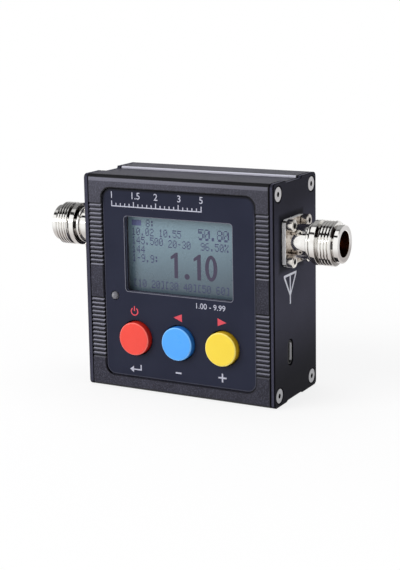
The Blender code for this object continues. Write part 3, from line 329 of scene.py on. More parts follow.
@dataclass(frozen=True)
class Finish:
    """A surface finish, made into a material once and then shared."""

    name: str
    slot: str

    def marks(self, graph: Graph, colour: bpy.types.NodeSocket) -> Socket:
        """Lay a piece's own lines and stains over the finish's colour."""
        return colour

    def paint(self, graph: Graph) -> None:
        """Lay out the finish's nodes."""
        raise NotImplementedError

    def material(self) -> bpy.types.Material:
        """Give the finish's material, made at its first use."""
        known = bpy.data.materials.get(self.name)
        if known:
            return known
        made = bpy.data.materials.new(self.name)
        made.use_nodes = True
        self.paint(Graph(made.node_tree))
        return made


@dataclass(frozen=True)
class Coating(Finish):
    """Coating on bead-blasted aluminium, grainy on its faces, with painted shade along its edges."""

    base: Tone
    speck: Tone
    edge: Tone
    grain: float
    depth: float
    roughness: float
    rim: float
    shine: float = 0.5

    def paint(self, graph: Graph) -> None:
        """Lay out grain, slow mottling and painted shade along the edges."""
        spot = graph.spot()
        grain = graph.noise(spot, self.grain, 3.0, 0.7)
        cloud = graph.noise(spot, 0.09, 3.0)
        across, along, up = graph.facing()
        flat = abs(across).greatest(abs(along)).greatest(abs(up))
        colour = graph.mix(grain.span(0.42, 0.72), self.base, self.speck)
        colour = graph.mix(cloud.span(0.35, 0.75) * 0.25, colour, self.speck)
        # Painted shade: faces that turn away from the main axes, as on rounded edges, take the edge tone.
        colour = graph.mix(flat.span(0.985, 0.86) * self.rim, colour, self.edge)
        colour = self.marks(graph, colour)
        graph.surface({
            "Base Color": colour,
            "Roughness": self.roughness + (grain - 0.5) * 0.25,
            "Specular IOR Level": self.shine,
            "Normal": graph.bump(grain, self.depth),
        })


@dataclass(frozen=True)
class FrontCoating(Coating):
    """The front half's coating: painted highlights on the rib flanks and under the top edge, painted shade in
    the grooves, towards the right, along the edges and round the recess, and a dark line at the ends.
    """

    # Tone of the painted highlights on the rib flanks, under the top edge and towards the top.
    crest: Tone = (150, 150, 164)
    front: float = -18.15
    middle: float = 42.0
    bank: float = 18.6
    reach: float = 12.5
    end: float = 38.5
    seam: float = 6.05
    recess: Point = (0.0656, 0.0740)
    corner: float = 0.0040
    bevel: Tone = (84, 86, 104)
    flank: float = 0.86
    band: float = 0.34
    lift: float = 0.11
    fall: float = 0.24
    line: float = 0.95

    def marks(self, graph: Graph, colour: bpy.types.NodeSocket) -> Socket:
        """Lay out the painted highlights on the rib flanks and the top's band, the painted shade and the dark
        lines.
        """
        across, depth, up = graph.parts(graph.spot())
        _, _, rising = graph.facing()
        on_front = depth.span(self.front + 0.75, self.front + 0.65)
        banks = abs(abs(up - self.middle) - self.bank).span(self.reach + 0.05, self.reach) * on_front
        outside = graph.outline((0.0, self.middle * MILLIMETRE), self.recess, self.corner)
        groove = depth.span(self.front + 0.04, self.front + 0.1) * banks
        flank = groove * rising.span(0.3, 0.5) * (0.4 + 0.6 * up.span(11.6, 12.6))
        # Painted shade: the grooves take the edge tone.
        colour = graph.mix(groove, colour, self.edge)
        # Painted highlight: the grooves' upward-facing lower flanks take the pale tone.
        colour = graph.mix(flank * self.flank, colour, self.crest)
        high = 2 * self.middle
        # Painted highlight: a pale band just under the top edge, and the front lighter towards the top.
        band = up.band(high - 2.3, high - 1.3, 0.4) * self.band
        colour = graph.mix((band + up.span(46.0, 82.0) * self.lift) * on_front, colour, self.crest)
        # Painted shade: the front darker towards the right.
        colour = graph.mix(across.span(0.0, 37.0) * on_front * self.fall, colour, self.edge)
        # Painted shade: dark lines along the front's top and bottom edges, and round the recess.
        corner = depth.span(self.front + 1.9, self.front + 1.6)
        line = (up.span(high - 1.25, high - 1.0)).greatest(up.span(1.0, 0.6)) * corner
        dashes = graph.noise(graph.spot(), 0.9, 1.0).span(0.4, 0.6)
        strength = up.span(30.0, 74.0) * 0.75 + across.span(28.0, 31.0) * 0.35 + dashes * 0.25
        recess = outside.band(-0.4, 0.35, 0.2) * on_front * strength
        ends = across.span(self.end - 0.42, self.end - 0.2)
        ends = ends.greatest(depth.span(self.seam - 0.5, self.seam - 0.2))
        ends = ends.greatest(abs(across).span(self.end - 0.3, self.end - 0.1) * 0.4)
        # Painted light: a paler tone on the window opening's inner wall.
        opening = graph.outline(*WINDOW).band(-0.5, 0.1, 0.1) * depth.span(self.front + 1.6, self.front + 1.8)
        colour = graph.mix(opening, colour, self.bevel)
        # The painted shade lines, with the dark lines at the ends and the seam, in the edge tone.
        return graph.mix(line.greatest(recess).greatest(ends) * self.line, colour, self.edge)


@dataclass(frozen=True)
class RearCoating(Coating):
    """The rear half's coating, with a painted highlight along its raised lip's chamfer and painted shade
    behind it.
    """

    lip: float = 6.25
    width: float = 0.45
    end: float = 38.5
    # Tone of the painted highlight along the lip's chamfer.
    worn: Tone = (194, 194, 206)

    def marks(self, graph: Graph, colour: bpy.types.NodeSocket) -> Socket:
        """Lay out the painted highlight on the chamfer and the painted shade behind it."""
        across, depth, _ = graph.parts(graph.spot())
        # Painted shade: a dark line behind the lip.
        behind = depth.band(self.lip + self.width, self.lip + self.width + 1.2, 0.1)
        colour = graph.mix(behind * 0.8, colour, self.edge)
        # Painted highlight along the lip's chamfer.
        colour = graph.mix(depth.span(self.lip + self.width, self.lip + self.width - 0.05) * 0.9, colour,
                           self.worn)
        return graph.mix(abs(across).span(self.end - 0.42, self.end - 0.2) * 0.9, colour, self.edge)


@dataclass(frozen=True)
class PlateCoating(Coating):
    """The end plates' coating, with painted shade along both edges of their rim, round the socket's flange
    and the charging slot, and towards the bottom and the top of their faces.
    """

    inner: float = 38.7
    outer: float = 40.5
    front: float = -18.15
    flange: float = 8.8
    strip: Tone = (62, 62, 74)
    worn: float = 0.4
    # Strength of the painted shadow round the flange.
    patch: float = 0.8
    low: Triple = (38.0, 7.0, 0.85)
    high: Triple = (66.0, 80.0, 0.5)

    def marks(self, graph: Graph, colour: bpy.types.NodeSocket) -> Socket:
        """Lay out the painted shade: the dark lines, the shadow round the flange and the charging slot, and
        the darker bottom and top.
        """
        across, depth, up = graph.parts(graph.spot())
        sides, _, _ = graph.facing()
        rim = abs(sides).span(0.8, 0.5)
        colour = graph.mix(rim * self.worn, colour, self.strip)
        # Painted shade in the gap round the charging slot.
        beside = abs(up - PORT_MIDDLE[1]).span(6.4, 6.0) * abs(depth - PORT_MIDDLE[0]).span(3.4, 3.0) * rim
        # Painted shade: dark lines along both edges of the rim.
        lines = abs(across).span(self.inner + 0.5, self.inner + 0.25)
        lines = lines.greatest(abs(across).span(self.outer - 0.55, self.outer - 0.3)) * rim
        lines = lines * across.span(-1.0, 1.0)
        # Painted shadow round the flange.
        aside = (abs(depth - SOCKET_AXIS[0]) - self.flange).greatest(abs(up - SOCKET_AXIS[1]) - self.flange)
        face = 1.0 - rim
        patch = aside.span(3.4, 0.6) * face * self.patch
        # Painted shade: the face darker towards the bottom, towards the top and along its front edge.
        low, high = (up.span(*reach[:2]) * reach[2] * face for reach in (self.low, self.high))
        near = depth.span(self.front + 0.7, self.front + 0.35) * face
        dark = reduce(Signal.greatest, (lines, patch, low, near, beside, high))
        return graph.mix(dark, colour, self.edge)


@dataclass(frozen=True)
class Film(Finish):
    """Printed film, smooth with a faint orange peel, with a painted highlight along its edges and a painted
    shadow under the recess's top wall.
    """

    base: Tone
    tint: Tone
    # Tone of the dust, and of the painted highlight along the edges.
    cut: Tone
    roughness: float
    shine: float
    border: Outline = ((0.0, 0.042), (0.0650, 0.0734), 0.0037)

    def paint(self, graph: Graph) -> None:
        """Lay out a faint cloud, dust, peel, the painted highlight along the edges and the painted shadow."""
        spot = graph.spot()
        cloud = graph.noise(spot, 0.06, 2.0)
        dust = graph.noise(spot, 2.2, 4.0, 0.7).span(0.66, 0.8)
        colour = graph.mix(cloud.span(0.3, 0.7), self.base, self.tint)
        colour = graph.mix(dust * 0.08, colour, self.cut)
        # Painted highlight along the window's edge, and a faint one inside the lower part of the border.
        opening = graph.outline(*WINDOW).span(0.26, 0.12)
        _, _, up = graph.parts(spot)
        inside = graph.outline(*self.border)
        border = inside.span(-0.5, -0.3) * up.span(78.0, 66.0) * 0.2
        colour = graph.mix(opening.greatest(border), colour, self.cut)
        # Painted shadow under the recess's top wall.
        colour = graph.mix(inside.span(-1.1, -0.3) * up.span(70.0, 78.0) * 0.8, colour, (14, 14, 20))
        peel = graph.noise(spot, 1.1, 1.0)
        graph.surface({
            "Base Color": colour,
            "Roughness": self.roughness + cloud * 0.08 + dust * 0.1,
            "Specular IOR Level": self.shine,
            "Normal": graph.bump(peel, 0.004),
        })


@dataclass(frozen=True)
class Plating(Finish):
    """Bare or plated metal, with fine tool lines and dulled patches."""

    base: Tone
    dull: Tone
    roughness: float
    lines: Triple = (14.0, 0.6, 0.6)
    metallic: float = 1.0
    patches: float = 0.4

    def paint(self, graph: Graph) -> None:
        """Lay out tool lines across the turning axis, patches and fine scratches."""
        tooling = graph.noise(graph.spot(self.lines), 1.0, 2.0, 0.6)
        patch = graph.noise(graph.spot(), 0.5, 2.0)
        colour = graph.mix(patch.span(0.4, 0.75) * self.patches, self.base, self.dull)
        graph.surface({
            "Base Color": self.marks(graph, colour),
            "Metallic": self.metallic,
            "Roughness": self.roughness + (patch - 0.5) * 0.05 + (tooling - 0.5) * 0.04,
            "Normal": graph.bump(tooling, 0.0003),
        })


@dataclass(frozen=True)
class BarrelPlating(Plating):
    """Plating of a threaded barrel, with dirt and painted shade in its grooves and painted shade on its
    underside.
    """

    start: float = 50.1
    stop: float = 59.9
    crest: float = 8.45
    # Tone of the dirt and the painted shade in the grooves.
    grime: Tone = (52, 46, 42)
    upper: Point = (0.46, 0.84)
    middle: Point = (-0.12, 0.26)
    stain: float = 0.42
    shade: Tone = (186, 179, 175)

    def marks(self, graph: Graph, colour: bpy.types.NodeSocket) -> Socket:
        """Lay out the dirt and the painted shade by the distance from the barrel's axis and the height on it.
        """
        across, depth, up = graph.parts(graph.spot())
        radius = ((depth - SOCKET_AXIS[0]) ** 2.0 + (up - SOCKET_AXIS[1]) ** 2.0) ** 0.5
        rise = (up - SOCKET_AXIS[1]) / radius
        threaded = abs(across).band(self.start, self.stop, 0.1)
        valley = radius.span(self.crest - 0.06, self.crest - 0.34) * threaded
        groove = radius.span(self.crest - 0.9, self.crest - 1.05) * threaded
        upper, middle = rise.band(*self.upper, 0.05), rise.band(*self.middle, 0.06)
        middle = middle * across.span(58.6, 58.9).greatest(across.band(-54.2, -50.0, 0.2))
        # Dirt in the thread's valleys, with painted shade deepening it towards the top and the bottom.
        dirty_and_shaded = valley * (upper * 0.85 + rise.span(-0.5, -0.72) * 0.5 + 0.14)
        # Painted shade on the underside.
        colour = graph.mix(rise.span(0.05, -0.5) * 0.85, colour, self.shade)
        # Painted shade over the top of the left socket's thread.
        shaded_top = rise.span(0.5, 0.62) * across.span(-49.6, -49.9)
        colour = graph.mix(shaded_top * self.stain, colour, self.grime)
        # Painted shade in the deep groove at mid height.
        return graph.mix(dirty_and_shaded.greatest(groove * middle * 0.85), colour, self.grime)


@dataclass(frozen=True)
class SheetPlating(Plating):
    """Plating of the charging socket's drawn sheet, with a painted highlight on a stretch inside its rear
    wall.
    """

    reach: float = 3.3
    start: Point = (39.4, 39.5)
    rubbed: Tone = (255, 255, 255)

    def marks(self, graph: Graph, colour: bpy.types.NodeSocket) -> Socket:
        """Lay out the painted highlight on the stretch."""
        across, depth, up = graph.parts(graph.spot())
        _, rearward, _ = graph.facing()
        inside = rearward.span(-0.6, -0.8) * depth.span(PORT_MIDDLE[0], PORT_MIDDLE[0] + 0.2)
        height = abs(up - PORT_MIDDLE[1]).span(self.reach + 0.1, self.reach)
        stretch = inside * height * across.span(*self.start)
        # Painted highlight inside the rear wall.
        return graph.mix(stretch, colour, self.rubbed)


@dataclass(frozen=True)
class Moulding(Finish):
    """Moulded plastic with a fine spark-eroded skin."""

    base: Tone
    shade: Tone
    roughness: float
    skin: float = 0.006

    def paint(self, graph: Graph) -> None:
        """Lay out flow marks, the fine skin and a slight wear shine."""
        spot = graph.spot()
        flow = graph.noise(spot, 0.18, 2.0)
        skin = graph.noise(spot, 5.0, 2.0, 0.6)
        colour = graph.mix(flow.span(0.35, 0.75) * 0.35, self.base, self.shade)
        graph.surface({
            "Base Color": self.marks(graph, colour),
            "Roughness": self.roughness + (flow - 0.5) * 0.12 + (skin - 0.5) * 0.1,
            "Normal": graph.bump(skin, self.skin),
        })


@dataclass(frozen=True)
class CapMoulding(Moulding):
    """Moulded cap, with a painted highlight round its rim and painted shade down its side."""

    # Tones of the painted highlight on the rim and the painted shade down the side.
    rim: Tone = (255, 255, 255)
    side: Tone = (0, 0, 0)

    def marks(self, graph: Graph, colour: bpy.types.NodeSocket) -> Socket:
        """Lay out the painted highlight on the rim and the painted shade on the side."""
        _, along, _ = graph.facing()
        front = along * -1.0
        # Painted highlight on the rim.
        colour = graph.mix(front.band(0.6, 0.93, 0.06) * 0.4, colour, self.rim)
        # Painted shade down the side.
        return graph.mix(front.span(0.45, 0.15) * 0.6, colour, self.side)


@dataclass(frozen=True)
class Foam(Finish):
    """Closed-cell foam, matt and pitted."""

    base: Tone

    def paint(self, graph: Graph) -> None:
        """Lay out the cells."""
        cells = graph.cells(graph.spot(), 4.0)
        colour = graph.mix(cells.span(0.0, 0.6), (8, 8, 9), self.base)
        graph.surface({"Base Color": colour, "Roughness": 0.95, "Normal": graph.bump(cells, 0.05)})


@dataclass(frozen=True)
class Resist(Finish):
    """Solder resist over fibreglass, with faint tracks under it."""

    base: Tone
    track: Tone

    def paint(self, graph: Graph) -> None:
        """Lay out tracks as bands of two crossed wave-like runs."""
        across, _, up = graph.parts(graph.spot())
        run = abs((across * 0.45).fract() - 0.5).span(0.3, 0.34)
        turn = abs((up * 0.32).fract() - 0.5).span(0.32, 0.36)
        cut = graph.noise(graph.spot(), 0.12, 1.0).span(0.48, 0.52)
        track = (run * cut).greatest(turn * (1.0 - cut))
        colour = graph.mix(track * 0.8, self.base, self.track)
        weave = graph.noise(graph.spot((3.0, 1.0, 3.0)), 1.0, 1.0)
        graph.surface({
            "Base Color": colour,
            "Roughness": 0.3 + weave * 0.15,
            "Normal": graph.bump(track, 0.03),
        })


@dataclass(frozen=True)
class LiquidCrystal(Finish):
    """Display glass: a grey-green field painted lighter towards the top, with its faint dot grid."""

    base: Tone
    cool: Tone
    pitch: tuple[float, float] = (0.36, 0.42)

    def paint(self, graph: Graph) -> None:
        """Lay out the field with its painted light, the grid between the dots and smudges on the glass."""
        across, _, up = graph.parts(graph.spot())
        lines = abs((across / self.pitch[0]).fract() - 0.5).greatest(abs((up / self.pitch[1]).fract() - 0.5))
        # Painted light: the field lighter towards the top.
        light_share = (up - across * 0.1).span(36.0, 70.0)
        smudge = graph.noise(graph.spot(), 0.15, 3.0)
        colour = graph.mix(light_share, self.base, self.cool)
        colour = graph.mix(lines.span(0.38, 0.5) * 0.10, colour, (60, 74, 86))
        graph.surface({"Base Color": colour, "Roughness": 0.22 + smudge * 0.12, "Coat Weight": 0.2})


@dataclass(frozen=True)
class Ink(Finish):
    """Screen-printed ink, a little thin in places."""

    base: Tone
    thin: Tone

    def paint(self, graph: Graph) -> None:
        """Lay out the ink's uneven cover."""
        cover = graph.noise(graph.spot(), 3.0, 3.0, 0.6)
        colour = graph.mix(cover.span(0.5, 0.85) * 0.6, self.base, self.thin)
        graph.surface({
            "Base Color": colour,
            "Roughness": 0.45 + cover * 0.15,
            "Normal": graph.bump(cover, 0.003),
        })


@dataclass(frozen=True)
class Lens(Finish):
    """Milky epoxy of a small lamp, with a painted sheen that makes it paler towards its rim."""

    core: Tone
    rim: Tone

    def paint(self, graph: Graph) -> None:
        """Lay out the core behind the skin, the painted sheen towards the rim and the haze in it."""
        haze = graph.noise(graph.spot(), 0.8, 2.0)
        edge = Signal(graph, graph.node("ShaderNodeLayerWeight", None, {"Blend": 0.35}).outputs["Facing"])
        # Painted sheen: paler where the surface turns away from the view.
        colour = graph.mix(edge.span(0.1, 0.9) * 0.7 + haze * 0.15, self.core, self.rim)
        graph.surface({"Base Color": colour, "Roughness": 0.16 + haze * 0.08, "Coat Weight": 0.5})


class Finishes:
    """Every finish of the meter, by what it covers."""

    front_half = FrontCoating("front_grain", "case_coating", (32, 31, 42), (72, 72, 86), (6, 6, 9),
                              1.7, 0.05, 0.5, 0.9, 0.25)
    rear_half = RearCoating("rear_grain", "case_coating", (32, 31, 42), (72, 72, 86), (6, 6, 9),
                            1.7, 0.05, 0.5, 0.9, 0.3)
    plate = PlateCoating("plate_satin", "plate_coating", (64, 64, 78), (74, 74, 89), (5, 5, 9),
                         2.6, 0.012, 0.5, 0.9, 0.025)
    label = Film("label_skin", "label_film", (31, 34, 51), (35, 38, 55), (122, 122, 134), 0.42, 0.15)
    nickel = Plating("bright_nickel", "nickel", (246, 244, 240), (218, 214, 208), 0.1)
    barrel = BarrelPlating("barrel_nickel", "nickel", (248, 247, 244), (226, 222, 216), 0.09)
    # A darker copy of the nickel for the flange, with heavier dull patches: painted shade where the barrel
    # and screws hide its reflection.
    flange = Plating("flange_nickel_shaded", "nickel", (196, 188, 180), (98, 80, 68), 0.17, patches=0.85)
    flange_edge = Plating("flange_edge", "nickel", (255, 255, 255), (250, 250, 250), 0.5, metallic=0.4)
    cap_screw = Plating("cap_screw_nickel", "nickel", (232, 228, 222), (140, 128, 118), 0.16, patches=0.6)
    steel = Plating("screw_zinc", "screw_steel", (204, 203, 204), (158, 158, 162), 0.3)
    # A darker copy of the screw steel: painted shade for the lower screws.
    low_steel = Plating("screw_zinc_shaded", "screw_steel", (160, 160, 163), (126, 126, 130), 0.34)
    # The charging socket's sheet in a dark tone: painted shade.
    port = SheetPlating("port_sheet", "usb_steel", (46, 46, 48), (30, 30, 33), 0.4, (1.0, 1.0, 6.0), 0.05)
    stamping = Plating("stamped_sheet", "usb_steel", (205, 205, 206), (160, 160, 164), 0.24, (1.0, 1.0, 6.0))
    gold = Plating("contact_gold", "gold", (222, 176, 96), (150, 98, 40), 0.22)
    # A darker copy of the contact gold: painted shade inside the barrel's bore.
    bore = Plating("bore_gold_shaded", "gold", (120, 74, 38), (70, 40, 22), 0.3)
    # Painted shade inside the screws' key holes.
    recess = Coating("screw_key_shade", "screw_steel", (20, 20, 21), (40, 40, 42), (8, 8, 8),
                     3.0, 0.01, 0.6, 0.3)
    # Each cap's rim tone is a painted highlight and its side tone painted shade.
    red = CapMoulding("red_cap", "red_plastic", (238, 68, 54), (232, 60, 48), 0.3, rim=(255, 150, 138),
                      side=(190, 8, 0))
    blue = CapMoulding("blue_cap", "blue_plastic", (76, 166, 248), (68, 158, 244), 0.3,
                       rim=(168, 220, 255), side=(8, 84, 190))
    yellow = CapMoulding("yellow_cap", "yellow_plastic", (244, 214, 60), (240, 206, 52), 0.3,
                         rim=(255, 246, 170), side=(206, 150, 4))
    white = Moulding("white_moulding", "white_plastic", (232, 230, 224), (214, 211, 203), 0.42)
    black = Moulding("black_moulding", "black_plastic", (26, 26, 28), (38, 38, 40), 0.42)
    foam = Foam("black_foam", "foam", (40, 37, 48))
    board = Resist("green_resist", "board", (22, 84, 44), (46, 120, 66))
    crystal = LiquidCrystal("crystal_field", "display_glass", (76, 91, 102), (122, 146, 158))
    dots = Ink("crystal_dots", "display_glass", (62, 64, 102), (78, 82, 112))
    blue_dots = Ink("crystal_blue_dots", "display_glass", (86, 92, 132), (100, 106, 142))
    bold_dots = Ink("crystal_bold_dots", "display_glass", (58, 52, 74), (68, 62, 84))
    wrap = Plating("cell_wrap", "battery_film", (205, 207, 210), (170, 172, 178), 0.32, (0.4, 0.4, 1.6))
    lens = Lens("lamp_epoxy_skin", "lamp_epoxy", (104, 104, 110), (176, 176, 182))
    print_white = Ink("white_ink", "label_film", (184, 185, 200), (142, 144, 160))
    print_side = Ink("side_ink", "label_film", (240, 241, 252), (200, 202, 214))
    print_red = Ink("red_ink", "label_film", (214, 70, 84), (170, 58, 72))


# Shapes

def arc(centre: Point, radius: float, start: float, end: float, steps: int) -> list[Point]:
    """List the points of an arc, both ends included, with its angles in degrees."""
    angles = [math.radians(start + (end - start) * index / steps) for index in range(steps + 1)]
    return [(centre[0] + radius * math.cos(angle), centre[1] + radius * math.sin(angle)) for angle in angles]


def circle(centre: Point, radius: float, steps: int = 48) -> list[Point]:
    """List the points of a full circle, once each."""
    return arc(centre, radius, 0.0, 360.0, steps)[:-1]


def rectangle(centre: Point, width: float, height: float) -> list[Point]:
    """List the corners of a rectangle."""
    signs = ((-1, -1), (1, -1), (1, 1), (-1, 1))
    return [(centre[0] + across * width / 2, centre[1] + up * height / 2) for across, up in signs]


def rounded_rectangle(centre: Point, width: float, height: float, radius: float,
                      steps: int = 8) -> list[Point]:
    """List the points of a rectangle with round corners."""
    points = []
    for quarter, (across, up) in enumerate(((1, 1), (-1, 1), (-1, -1), (1, -1))):
        corner = (centre[0] + across * (width / 2 - radius), centre[1] + up * (height / 2 - radius))
        points += arc(corner, radius, 90.0 * quarter, 90.0 * (quarter + 1), steps)
    return points


def wound(points: Sequence[Point], counter: bool) -> list[Point]:
    """Put an outline's points in counter-clockwise order, or the other way."""
    turn = sum(a[0] * b[1] - b[0] * a[1] for a, b in zip(points, [*points[1:], points[0]]))
    return list(points) if (turn > 0) == counter else list(reversed(points))


def softened(profile: Sequence[Point], radius: float, closed: bool = False, steps: int = 3) -> list[Point]:
    """Round the corners of a profile.

    Args:
        profile: The profile's points.
        radius: The radius, which short runs beside a corner make smaller.
        closed: Whether the last point joins the first.
        steps: The number of steps in each round.

    Returns:
        The profile with small rounds in place of its corners.
    """
    count = len(profile)
    made = []
    for index, point in enumerate(profile):
        if not closed and index in (0, count - 1):
            made.append(point)
            continue
        here = Vector(point)
        back, ahead = Vector(profile[index - 1]) - here, Vector(profile[(index + 1) % count]) - here
        turn = math.pi - back.angle(ahead, math.pi)
        if turn < math.radians(25):
            made.append(point)
            continue
        reach = min(radius * math.tan(turn / 2), 0.45 * back.length, 0.45 * ahead.length)
        start, end = here + back.normalized() * reach, here + ahead.normalized() * reach
        for step in range(steps + 1):
            share = step / steps
            curved = start * (1 - share) ** 2 + here * 2 * share * (1 - share) + end * share ** 2
            made.append((curved.x, curved.y))
    return made


def middle_of(node: str) -> Triple:
    """Give the middle of a CAD node's box."""
    return tuple((near + far) / 2 for near, far in zip(*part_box(node)))


def placed(name: str, data: bpy.types.ID) -> bpy.types.Object:
    """Put a new object that holds some data into the scene."""
    item = bpy.data.objects.new(name, data)
    bpy.context.scene.collection.objects.link(item)
    return item


def mesh_from(shape: bmesh.types.BMesh, name: str, placement: Matrix | None = None) -> Mesh:
    """Turn a closed shape into a mesh with outward faces, at its place."""
    bmesh.ops.remove_doubles(shape, verts=shape.verts, dist=1e-7)
    bmesh.ops.recalc_face_normals(shape, faces=shape.faces)
    if placement:
        shape.transform(placement)
    mesh = bpy.data.meshes.new(name)
    shape.to_mesh(mesh)
    shape.free()
    return mesh


def skin(rings: Sequence[Sequence[Vector]], closed: bool, placement: Matrix, name: str) -> Mesh:
    """Join rings of points into one closed mesh.

    Args:
        rings: Rings with the same count of points; a ring of one point is a tip.
        closed: Whether the last ring joins the first, as in a tube's wall.
        placement: Where the shape goes.
        name: The mesh's name.

    Returns:
        The mesh.
    """
    shape = bmesh.new()
    rows = [[shape.verts.new(point) for point in ring] for ring in rings]
    pairs = list(zip(rows, rows[1:])) + ([(rows[-1], rows[0])] if closed else [])
    for lower, upper in pairs:
        count = max(len(lower), len(upper))
        for index in range(count):
            ahead = (index + 1) % count
            corners = [lower[index % len(lower)], lower[ahead % len(lower)]]
            corners += [upper[ahead % len(upper)], upper[index % len(upper)]]
            corners = list(dict.fromkeys(corners))
            if len(corners) > 2:
                shape.faces.new(corners)
    if not closed:
        for row in (rows[0], rows[-1]):
            if len(row) > 2:
                shape.faces.new(row)
    return mesh_from(shape, name, placement)


def turned(rows: Sequence[Row], placement: Matrix, name: str, steps: int = 64,
           ring: bool = False) -> Mesh:
    """Turn a profile round its own Z.

    Args:
        rows: Radius and height of each row; a radius may depend on the angle.
        placement: Where the shape goes.
        name: The mesh's name.
        steps: The number of steps round.
        ring: Whether the profile is closed round an open middle.

    Returns:
        The mesh.
    """
    rings = []
    for radius, height in rows:
        if not callable(radius) and radius <= 1e-9:
            rings.append([Vector((0.0, 0.0, height))])
            continue
        points = []
        for index in range(steps):
            angle = 2 * math.pi * index / steps
            reach = radius(angle) if callable(radius) else radius
            points.append(Vector((reach * math.cos(angle), reach * math.sin(angle), height)))
        rings.append(points)
    return skin(rings, ring, placement, name)


def slab(outlines: Sequence[Sequence[Point]], thickness: float, placement: Matrix, name: str,
         edge: float = 0.0) -> Mesh:
    """Fill outlines, holes among them, to a slab with eased edges.

    Args:
        outlines: The outer outline first, then the holes.
        thickness: The slab's thickness, half to each side of its plane.
        placement: Where the shape goes.
        name: The mesh's name.
        edge: The radius of its edges.

    Returns:
        The mesh.
    """
    curve = bpy.data.curves.new(name, "CURVE")
    curve.dimensions = "2D"
    curve.fill_mode = "BOTH"
    curve.extrude = thickness / 2 - edge
    curve.bevel_depth = edge
    curve.bevel_resolution = 2
    curve.offset = -edge
    for index, outline in enumerate(outlines):
        points = wound(outline, index == 0)
        spline = curve.splines.new("POLY")
        spline.points.add(len(points) - 1)
        for place, point in zip(spline.points, points):
            place.co = (*point, 0.0, 1.0)
        spline.use_cyclic_u = True
    return solid_from_curve(curve, placement, name)


def solid_from_curve(curve: bpy.types.Curve, placement: Matrix, name: str) -> Mesh:
    """Turn a filled curve or text into a closed mesh at its place."""
    pattern = placed(name, curve)
    bpy.context.view_layer.update()
    seen = pattern.evaluated_get(bpy.context.evaluated_depsgraph_get())
    raw = bpy.data.meshes.new_from_object(seen)
    bpy.data.objects.remove(pattern, do_unlink=True)
    shape = bmesh.new()
    shape.from_mesh(raw)
    bpy.data.meshes.remove(raw)
    return mesh_from(shape, name, placement)


def carved(mesh: Mesh, cutters: Iterable[Mesh]) -> Mesh:
    """Cut meshes out of a mesh, one after the other."""
    for cutter in cutters:
        work, tool = placed("work", mesh), placed("tool", cutter)
        modifier = work.modifiers.new("cut", "BOOLEAN")
        modifier.operation = "DIFFERENCE"
        modifier.solver = "EXACT"
        modifier.object = tool
        bpy.context.view_layer.update()
        seen = work.evaluated_get(bpy.context.evaluated_depsgraph_get())
        mesh = bpy.data.meshes.new_from_object(seen)
        for item in (work, tool):
            bpy.data.objects.remove(item, do_unlink=True)
    return mesh


def joined(meshes: Sequence[Mesh], name: str) -> Mesh:
    """Put several closed meshes into one."""
    shape = bmesh.new()
    for mesh in meshes:
        shape.from_mesh(mesh)
    made = bpy.data.meshes.new(name)
    shape.to_mesh(made)
    shape.free()
    return made


def brick(low: Sequence[float], high: Sequence[float], name: str) -> Mesh:
    """Make a plain block between two corners, for cutters and for single dots."""
    ring = [(low[0], low[1]), (high[0], low[1]), (high[0], high[1]), (low[0], high[1])]
    rings = [[Vector((x, y, z)) for x, y in ring] for z in (low[2], high[2])]
    return skin(rings, False, Matrix.Identity(4), name)


def piece(name: str, mesh: Mesh, body: str, finish: Finish, stands_for: Sequence[str] = (),
          smooth: float = 40.0) -> bpy.types.Object:
    """Put a finished piece on its body.

    Args:
        name: The piece's name.
        mesh: Its mesh, in the frame's own place.
        body: The CAD body that it rides on.
        finish: Its surface.
        stands_for: The CAD nodes that it is shown in place of.
        smooth: Edges shallower than this, in degrees, are shaded smooth.

    Returns:
        The piece's object.
    """
    mesh.name = name
    mesh.materials.clear()
    mesh.materials.append(finish.material())
    mesh.shade_smooth()
    mesh.set_sharp_from_angle(angle=math.radians(smooth))
    item = placed(name, mesh)
    modifier = item.modifiers.new("even_shading", "WEIGHTED_NORMAL")
    modifier.keep_sharp = True
    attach(item, body)
    if stands_for:
        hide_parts(*stands_for)
    LOG.info("piece %s on %s, %d faces", name, body, len(mesh.polygons))
    return item


def second_finish(item: bpy.types.Object, finish: Finish, inside: Callable[[Vector], bool]) -> None:
    """Give another finish to the faces whose middle lies inside a region."""
    item.data.materials.append(finish.material())
    for face in item.data.polygons:
        if inside(face.center):
            face.material_index = len(item.data.materials) - 1


def near_axis(axis: Vector, reach: float, low: float, high: float) -> Callable[[Vector], bool]:
    """Make a test for faces near an axis that runs along X.

    Args:
        axis: The axis's point at X = 0.
        reach: How far from the axis the faces' middles lie at most.
        low: Their least distance from X = 0.
        high: Their greatest.

    Returns:
        The test of a face's middle.
    """
    def inside(middle: Vector) -> bool:
        """Tell whether a face's middle lies in the region."""
        aside = (Vector((0.0, middle.y, middle.z)) - axis).length
        return aside < reach and low < abs(middle.x) < high

    return inside


def keyed(mesh: Mesh, place: Matrix, top: float, across: float, depth: float) -> Mesh:
    """Cut a key's hole into a screw's head.

    Args:
        mesh: The screw.
        place: The screw's place.
        top: The height of its face there.
        across: The key's size across its flats.
        depth: The hole's depth.

    Returns:
        The screw with its hole.
    """
    flats = circle((0.0, 0.0), across / math.sqrt(3), Key.HEX.value)
    length = depth + 0.001
    lifted = place @ Matrix.Translation((0.0, 0.0, top - depth + length / 2))
    return carved(mesh, [slab([flats], length, lifted, "key_tool")])


# Sub-assemblies

